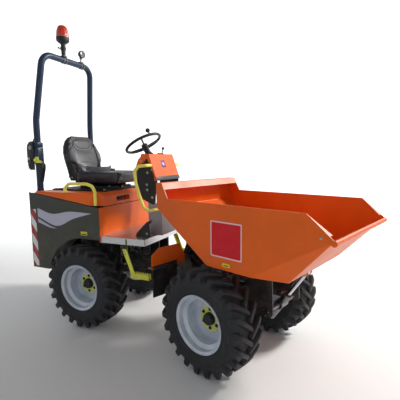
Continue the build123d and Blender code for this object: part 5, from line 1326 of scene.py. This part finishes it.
def soft_shape(piece, pressure, cap, seams):
    """Turns a piece into an upholstered one: even mesh, blown up from inside, held down along its seams."""
    scene = bpy.context.scene
    frames, seam_reach = 20, 0.011
    remesh = piece.modifiers.new("even", "REMESH")
    remesh.mode = "VOXEL"
    remesh.voxel_size = 0.006
    take(piece)
    rest = [vertex.co.copy() for vertex in piece.data.vertices]
    held = piece.vertex_groups.new(name="seams")
    for index, point in enumerate(rest):
        near = min(distance_to_line(point, line) for line in seams)
        if near < seam_reach:
            held.add([index], 1.0 - near / seam_reach * 0.6, "REPLACE")
    cloth = piece.modifiers.new("cloth", "CLOTH")
    cloth.settings.quality = 6
    cloth.settings.mass = 0.2
    cloth.settings.tension_stiffness = 12
    cloth.settings.compression_stiffness = 12
    cloth.settings.bending_stiffness = 3
    cloth.settings.use_pressure = True
    cloth.settings.uniform_pressure_force = pressure
    cloth.settings.vertex_group_mass = "seams"
    cloth.settings.effector_weights.gravity = 0
    cloth.point_cache.frame_start = 1
    cloth.point_cache.frame_end = frames
    for step in range(1, frames + 1):
        scene.frame_set(step)
    take(piece)
    scene.frame_set(1)
    for vertex, start in zip(piece.data.vertices, rest):
        moved = vertex.co - start
        if moved.length > cap:
            vertex.co = start + moved.normalized() * cap


def take(piece):
    """Applies a piece's modifiers."""
    graph = bpy.context.evaluated_depsgraph_get()
    data = bpy.data.meshes.new_from_object(piece.evaluated_get(graph), depsgraph=graph)
    old = piece.data
    piece.modifiers.clear()
    piece.data = data
    bpy.data.meshes.remove(old)


def distance_to_line(point, line):
    """Shortest way from a point to a line of points."""
    best = 1.0
    for a, b in zip(line, line[1:]):
        along = b - a
        share = max(0.0, min(1.0, (point - a).dot(along) / max(along.length_squared, 1e-12)))
        best = min(best, (a + along * share - point).length)
    return best


def cushion_shape(name, matrix, pads, seams, options):
    """A padded part of the seat from overlapping pads, with piping along its seams."""
    piece = Piece(name, "cover", "seat_vinyl", matrix)
    piece.use("vinyl")
    for outline, axis, low, high, bevel in pads:
        piece.slab(outline, axis, low, high, bevel)
    made = piece.place(60)
    lines = [[matrix @ Vector(p) for p in line] for line in seams]
    soft_shape(made, options.seat_pressure, options.seat_puff, lines)
    smooth = made.modifiers.new("smooth", "SUBSURF")
    smooth.levels = 1
    take(made)
    made.data.materials.clear()
    made.data.materials.append(finish("vinyl"))
    made.data.polygons.foreach_set("use_smooth", [True] * len(made.data.polygons))
    trim = Piece(name + "_piping", "cover", "seat_vinyl", Matrix.Identity(4))
    trim.use("piping")
    for line in lines:
        snapped = []
        for point in smooth_line(line, 0.008):
            found, near, normal, _ = made.closest_point_on_mesh(point)
            snapped.append(near + normal * 0.0006 if found else point)
        trim.tube(snapped, 0.0026, 8)
    trim.place(80)
    return made


def add_seat(options):
    """Cushion and backrest with bolsters, piping, a moulded shell, the belt and its buckle."""
    middle = [(-0.998, 1.312), (-0.520, 1.312), (-0.508, 1.350), (-0.530, 1.392), (-0.998, 1.392)]
    bolster = [(-0.998, 1.312), (-0.545, 1.312), (-0.520, 1.345), (-0.545, 1.402), (-0.998, 1.406)]
    pads = [
        (rounded(middle, 0.02), "y", -0.175, 0.175, 0.012),
        (rounded(bolster, 0.03), "y", -0.238, -0.150, 0.020),
        (rounded(bolster, 0.03), "y", 0.150, 0.238, 0.020),
    ]
    seams = []
    for side in (-1, 1):
        seams.append([(-0.985, side * 0.158, 1.400), (-0.700, side * 0.158, 1.400),
                      (-0.560, side * 0.150, 1.396), (-0.520, side * 0.145, 1.375)])
    seams.append([(-0.720, -0.155, 1.396), (-0.722, 0.0, 1.394), (-0.720, 0.155, 1.396)])
    cushion = cushion_shape("cushion_cover", REAR, pads, seams, options)
    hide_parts("seat_cushion")

    lean = math.radians(17.0)
    back = REAR @ Matrix.Translation((-1.028, 0, 1.322)) @ Matrix.Rotation(-lean, 4, "Y")
    half = [(0.165, 0.000), (0.178, 0.070), (0.182, 0.130), (0.236, 0.190), (0.240, 0.260), (0.205, 0.345),
            (0.158, 0.415), (0.100, 0.445)]
    outline = half + [(-y, z) for y, z in reversed(half)]
    inner = [(y * 0.72, 0.012 + z * 0.94) for y, z in half]
    inner += [(-y, z) for y, z in reversed(inner)]
    wing = [(0.150, 0.030), (0.176, 0.075), (0.182, 0.130), (0.234, 0.192), (0.237, 0.262), (0.204, 0.342),
            (0.160, 0.400), (0.150, 0.330), (0.158, 0.230), (0.140, 0.120)]
    pads = [
        (rounded(outline, 0.03), "x", -0.036, 0.012, 0.016),
        (rounded(inner, 0.03), "x", 0.000, 0.026, 0.010),
        (rounded(wing, 0.02), "x", 0.000, 0.040, 0.014),
        (rounded([(-y, z) for y, z in reversed(wing)], 0.02), "x", 0.000, 0.040, 0.014),
    ]
    seams = []
    for side in (-1, 1):
        seams.append([(0.030, side * 0.128, 0.030), (0.034, side * 0.138, 0.120),
                      (0.034, side * 0.156, 0.230),
                      (0.032, side * 0.148, 0.330), (0.026, side * 0.120, 0.400)])
    for wide, top, low in ((0.126, 0.405, 0.296), (0.096, 0.368, 0.322)):
        seams.append([(0.026, -wide, top), (0.027, -wide * 0.96, low + 0.030), (0.028, -wide * 0.66, low),
                      (0.028, 0.0, low - 0.004), (0.028, wide * 0.66, low),
                      (0.027, wide * 0.96, low + 0.030), (0.026, wide, top)])
    rest = cushion_shape("backrest_cover", back, pads, seams, options)
    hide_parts("seat_back")

    shell = Piece("seat_shell", "cover", "black_plastic")
    shell.use("plastic")
    rows = []
    for z, rear, front, half_width in (
        (1.3110, -1.128, -1.030, 0.185), (1.3500, -1.134, -1.034, 0.194), (1.4400, -1.147, -1.046, 0.208),
        (1.5200, -1.158, -1.068, 0.224), (1.5850, -1.168, -1.088, 0.227), (1.6450, -1.177, -1.106, 0.214),
        (1.7000, -1.182, -1.122, 0.186), (1.7350, -1.176, -1.132, 0.152), (1.7540, -1.164, -1.138, 0.112),
    ):
        ring = rectangle((rear, front), (-half_width, half_width))
        rows.append([(x, y, z) for x, y in rounded(ring, min(0.03, (front - rear) * 0.45))])
    shell.skin(rows)
    for side in (-1, 1):
        shell.tube(smooth_line([(-1.112, side * 0.200, 1.340), (-1.100, side * 0.214, 1.420),
                                (-1.108, side * 0.225, 1.500), (-1.126, side * 0.231, 1.580)], 0.01), 0.004,
                   8)
    shell.use("zinc")
    for side in (-1, 1):
        shell.bolt((-1.080, side * 0.189, 1.345), (0, side, 0), 0.014)
    shell.place(50)

    belt = Piece("seat_belt", "cover", "black_plastic")
    belt.use("plastic")
    belt.box((-1.010, -0.930), (0.246, 0.290), (1.330, 1.420), 0.008)
    belt.use("webbing")
    strap = smooth_line([(-0.970, 0.262, 1.418), (-0.966, 0.250, 1.440), (-0.930, 0.215, 1.436),
                         (-0.880, 0.120, 1.424),
                         (-0.850, 0.020, 1.424), (-0.860, -0.090, 1.424), (-0.900, -0.190, 1.436)], 0.02)
    belt.tube(strap, 0.0016, 8, flat=0.022)
    belt.use("steel")
    belt.box((-0.925, -0.885), (-0.232, -0.185), (1.4335, 1.4365), 0.001)
    belt.use("plastic")
    belt.tube(smooth_line([(-0.960, -0.262, 1.335), (-0.950, -0.266, 1.380), (-0.935, -0.262, 1.430)]),
              0.007, 10)
    belt.box((-0.960, -0.905), (-0.285, -0.240), (1.425, 1.475), 0.006)
    belt.use("red_button")
    belt.box((-0.948, -0.917), (-0.278, -0.247), (1.473, 1.479), 0.002)
    belt.place()


def add_stage(options):
    """Pale floor that rises at its rim, a large key lamp, low fill, and the camera."""
    scene = bpy.context.scene
    mesh = bmesh.new()
    flat, rise, sides = 8.5, 5.0, 128
    bend = [math.pi / 2 * k / 14 for k in range(1, 14)]
    profile = [(0.0, 0.0), (3.0, 0.0), (6.0, 0.0), (flat, 0.0)]
    profile += [(flat + rise * math.sin(a), rise - rise * math.cos(a)) for a in bend]
    profile += [(13.8, 7.5), (14.0, 11.5)]
    rings = []
    for radius, z in profile:
        radius = max(radius, 0.0001)
        rings.append([mesh.verts.new((radius * math.cos(t), radius * math.sin(t), z)) for t in turns(sides)])
    for low, high in zip(rings, rings[1:]):
        for k in range(sides):
            j = (k + 1) % sides
            mesh.faces.new((low[k], low[j], high[j], high[k])).smooth = True
    data = bpy.data.meshes.new("floor")
    mesh.to_mesh(data)
    mesh.free()
    floor = bpy.data.objects.new("floor", data)
    scene.collection.objects.link(floor)
    data.materials.append(finish("floor"))

    world = bpy.data.worlds.new("studio")
    world.use_nodes = True
    sky = world.node_tree.nodes["Background"]
    sky.inputs["Color"].default_value = (0.93, 0.96, 1.0, 1.0)
    sky.inputs["Strength"].default_value = options.sky
    scene.world = world

    for name, spot, aim, size, power, tint in (
        ("key", (5.4, 4.2, 5.7), (0.0, 0.0, 0.8), 1.6, options.key, (1.0, 0.975, 0.93)),
        ("fill", (3.0, -6.0, 2.2), (0.0, 0.0, 0.7), 3.5, options.fill, (0.92, 0.95, 1.0)),
    ):
        light = bpy.data.lights.new(name, "AREA")
        light.shape = "SQUARE"
        light.size = size
        light.energy = power
        light.color = tint
        lamp = bpy.data.objects.new(name, light)
        scene.collection.objects.link(lamp)
        lamp.location = REAR @ Vector(spot)
        way = REAR @ Vector(aim) - lamp.location
        lamp.rotation_euler = way.to_track_quat("-Z", "Y").to_euler()

    lens = bpy.data.cameras.new("camera")
    lens.sensor_width = 36.0
    lens.lens = 30.65
    camera = bpy.data.objects.new("camera", lens)
    scene.collection.objects.link(camera)
    spot = Vector((1.4773, -2.7480, 1.5149))
    yaw, pitch, roll = math.radians(114.55), math.radians(-6.89), math.radians(-0.57)
    look = Vector((math.cos(yaw) * math.cos(pitch), math.sin(yaw) * math.cos(pitch), math.sin(pitch)))
    right = look.cross(Vector((0, 0, 1))).normalized()
    up = right.cross(look)
    tilted_right = right * math.cos(roll) + up * math.sin(roll)
    tilted_up = up * math.cos(roll) - right * math.sin(roll)
    turn = Matrix((tilted_right, tilted_up, -look)).transposed()
    camera.matrix_world = Matrix.Translation(REAR @ spot) @ turn.to_4x4()
    scene.camera = camera
    scene.view_settings.view_transform = "Standard"


NODE_FINISHES = {
    "orange": ["seat_box", "console_hood", "engine_cover", "mudguards", "skip"],
    "charcoal": ["side_panel_left", "side_panel_right", "tail_panel"],
    "black": ["rear_chassis", "tow_hitch", "rear_axle", "pedals", "console_plates", "centre_yoke",
              "front_chassis", "front_axle", "steer_ram_barrel"],
    "bar_black": ["roll_bar_posts", "roll_bar_hoop"],
    "lime": ["step_left", "step_right"],
    "rail_yellow": ["cover_rails", "dash_rails"],
    "grey": ["console_post"],
    "tread_plate": ["footplate"],
    "plastic": ["steering_column", "work_lamp", "beacon"],
    "grip": ["steering_wheel"],
    "bellows": ["seat_base"],
    "flap": ["mud_flaps"],
    "steel": ["tip_ram_barrel"],
    "chrome": ["tip_ram_rod", "steer_ram_rod"],
    "iron": ["engine_block"],
    "vinyl": ["seat_cushion", "seat_back"],
}


def add_paint():
    """Gives every CAD node its finish."""
    for name, nodes in NODE_FINISHES.items():
        for node in nodes:
            coat(node, name)
    for wheel in WHEELS:
        coat("rim_" + wheel, rim_finish(wheel))
        coat("tyre_" + wheel, "flap")


# ------------------------------------------------------------------ add-on
def colour_option(name, description, default):
    """A colour in the panel."""
    return bpy.props.FloatVectorProperty(name=name, description=description, subtype="COLOR", size=3, min=0,
                                         max=1, default=colour(default)[:3])


def length_option(name, description, default):
    """A length in the panel, in metres."""
    return bpy.props.FloatProperty(name=name, description=description, default=default, min=0, unit="LENGTH")


class DumperOptions(bpy.types.PropertyGroup):
    """Sizes, colours and light of the machine's finish."""

    body_colour: colour_option("Body", "Paint of the skip, covers and guards", "e86208")
    panel_colour: colour_option("Panels", "Paint of the side and tail panels", "3f4039")
    frame_colour: colour_option("Frame", "Paint of the chassis", "222325")
    step_colour: colour_option("Steps", "Paint of the steps", "eef052")
    rail_colour: colour_option("Rails", "Paint of the grab rails", "f3e667")
    hub_colour: colour_option("Hubs", "Paint of the hub discs", "d3da5a")
    seat_colour: colour_option("Seat", "Vinyl of the seat", "2b2b34")
    bar_count: bpy.props.IntProperty(name="Tread bars", description="Bars on each side of a tyre",
                                     default=22, min=8)
    bar_width: length_option("Bar width", "Width of a tread bar", 0.034)
    bar_lean: bpy.props.FloatProperty(name="Bar lean", description="Turn of a bar from centre to shoulder",
                                      default=0.235, subtype="ANGLE")
    seat_pressure: bpy.props.FloatProperty(name="Seat pressure", description="Air pressure in the padding",
                                           default=4.0, min=0)
    seat_puff: length_option("Seat puff", "Most that the padding may swell", 0.022)
    key: bpy.props.FloatProperty(name="Key light", description="Power of the key lamp in watts",
                                 default=700.0, min=0)
    fill: bpy.props.FloatProperty(name="Fill light", description="Power of the fill lamp in watts",
                                  default=12.0, min=0)
    sky: bpy.props.FloatProperty(name="Sky", description="Strength of the sky light", default=0.20, min=0)


class BuildOperator:
    """What the operators share."""

    bl_options = {"REGISTER", "UNDO"}


class DUMPER_OT_paint(BuildOperator, bpy.types.Operator):
    """Give every CAD node its finish."""

    bl_idname = "dumper.paint"
    bl_label = "Paint CAD Nodes"

    def execute(self, context):
        add_paint()
        return {"FINISHED"}


class DUMPER_OT_tyres(BuildOperator, bpy.types.Operator):
    """Add the treaded tyres."""

    bl_idname = "dumper.tyres"
    bl_label = "Tyres"

    def execute(self, context):
        add_tyres(context.scene.dumper)
        return {"FINISHED"}


class DUMPER_OT_wheels(BuildOperator, bpy.types.Operator):
    """Add wheel nuts, hub caps, rim rings and tyre valves."""

    bl_idname = "dumper.wheels"
    bl_label = "Wheel Fittings"

    def execute(self, context):
        add_wheel_fittings()
        return {"FINISHED"}


class DUMPER_OT_skip(BuildOperator, bpy.types.Operator):
    """Add labels, bolts, washers and welds to the skip."""

    bl_idname = "dumper.skip"
    bl_label = "Skip Fittings"

    def execute(self, context):
        add_skip_fittings()
        return {"FINISHED"}


class DUMPER_OT_front(BuildOperator, bpy.types.Operator):
    """Add fasteners, brackets and hoses to the front half."""

    bl_idname = "dumper.front"
    bl_label = "Front Fittings"

    def execute(self, context):
        add_front_fittings()
        return {"FINISHED"}


class DUMPER_OT_body(BuildOperator, bpy.types.Operator):
    """Add tape, flashes, dark strips standing in for the shade under the covers, tail lamps and the tow pin.
    """

    bl_idname = "dumper.body"
    bl_label = "Body Fittings"

    def execute(self, context):
        add_body_fittings()
        return {"FINISHED"}


class DUMPER_OT_cover(BuildOperator, bpy.types.Operator):
    """Add the latch, rail feet and seat fittings."""

    bl_idname = "dumper.cover"
    bl_label = "Cover Fittings"

    def execute(self, context):
        add_cover_fittings()
        return {"FINISHED"}


class DUMPER_OT_engine(BuildOperator, bpy.types.Operator):
    """Add the engine."""

    bl_idname = "dumper.engine"
    bl_label = "Engine"

    def execute(self, context):
        add_engine()
        return {"FINISHED"}


class DUMPER_OT_hydraulics(BuildOperator, bpy.types.Operator):
    """Add the valve block, filter, box and hoses below the footplate."""

    bl_idname = "dumper.hydraulics"
    bl_label = "Hydraulics"

    def execute(self, context):
        add_hydraulics()
        return {"FINISHED"}


class DUMPER_OT_footplate(BuildOperator, bpy.types.Operator):
    """Add pedal pads and bolts."""

    bl_idname = "dumper.footplate"
    bl_label = "Footplate Fittings"

    def execute(self, context):
        add_footplate_fittings()
        return {"FINISHED"}


class DUMPER_OT_steps(BuildOperator, bpy.types.Operator):
    """Add the two steps."""

    bl_idname = "dumper.steps"
    bl_label = "Steps"

    def execute(self, context):
        add_steps()
        return {"FINISHED"}


class DUMPER_OT_console(BuildOperator, bpy.types.Operator):
    """Add the console's trim, lever, switches, gauge and gaiter."""

    bl_idname = "dumper.console"
    bl_label = "Console Fittings"

    def execute(self, context):
        add_console_fittings()
        return {"FINISHED"}


class DUMPER_OT_roll_bar(BuildOperator, bpy.types.Operator):
    """Add the roll bar's posts, hinge plates, lock pins and sleeves."""

    bl_idname = "dumper.roll_bar"
    bl_label = "Roll Bar Fittings"

    def execute(self, context):
        add_roll_bar_fittings()
        return {"FINISHED"}


class DUMPER_OT_beacon(BuildOperator, bpy.types.Operator):
    """Add the beacon and the work lamp."""

    bl_idname = "dumper.beacon"
    bl_label = "Beacon and Lamp"

    def execute(self, context):
        add_beacon()
        return {"FINISHED"}


class DUMPER_OT_seat(BuildOperator, bpy.types.Operator):
    """Add the padded seat and its belt."""

    bl_idname = "dumper.seat"
    bl_label = "Seat"

    def execute(self, context):
        add_seat(context.scene.dumper)
        return {"FINISHED"}


class DUMPER_OT_stage(BuildOperator, bpy.types.Operator):
    """Add the floor, the lights and the camera."""

    bl_idname = "dumper.stage"
    bl_label = "Stage"

    def execute(self, context):
        add_stage(context.scene.dumper)
        return {"FINISHED"}


OPERATORS = (
    DUMPER_OT_paint,
    DUMPER_OT_tyres,
    DUMPER_OT_wheels,
    DUMPER_OT_skip,
    DUMPER_OT_front,
    DUMPER_OT_body,
    DUMPER_OT_cover,
    DUMPER_OT_engine,
    DUMPER_OT_hydraulics,
    DUMPER_OT_footplate,
    DUMPER_OT_steps,
    DUMPER_OT_console,
    DUMPER_OT_roll_bar,
    DUMPER_OT_beacon,
    DUMPER_OT_seat,
    DUMPER_OT_stage,
)


class DUMPER_PT_panel(bpy.types.Panel):
    """Sizes, colours and steps of the finish."""

    bl_label = "Site Dumper"
    bl_idname = "DUMPER_PT_panel"
    bl_space_type = "VIEW_3D"
    bl_region_type = "UI"
    bl_category = "Dumper"

    def draw(self, context):
        for name in DumperOptions.__annotations__:
            self.layout.prop(context.scene.dumper, name)
        for operator in OPERATORS:
            self.layout.operator(operator.bl_idname)


CLASSES = (DumperOptions, *OPERATORS, DUMPER_PT_panel)


def register():
    for cls in CLASSES:
        bpy.utils.register_class(cls)
    bpy.types.Scene.dumper = bpy.props.PointerProperty(type=DumperOptions)


def unregister():
    del bpy.types.Scene.dumper
    for cls in reversed(CLASSES):
        bpy.utils.unregister_class(cls)


def main():
    """Builds the finish."""
    register()
    for operator in OPERATORS:
        getattr(bpy.ops.dumper, operator.bl_idname.split(".")[1])()


if __name__ == "__main__":
    main()
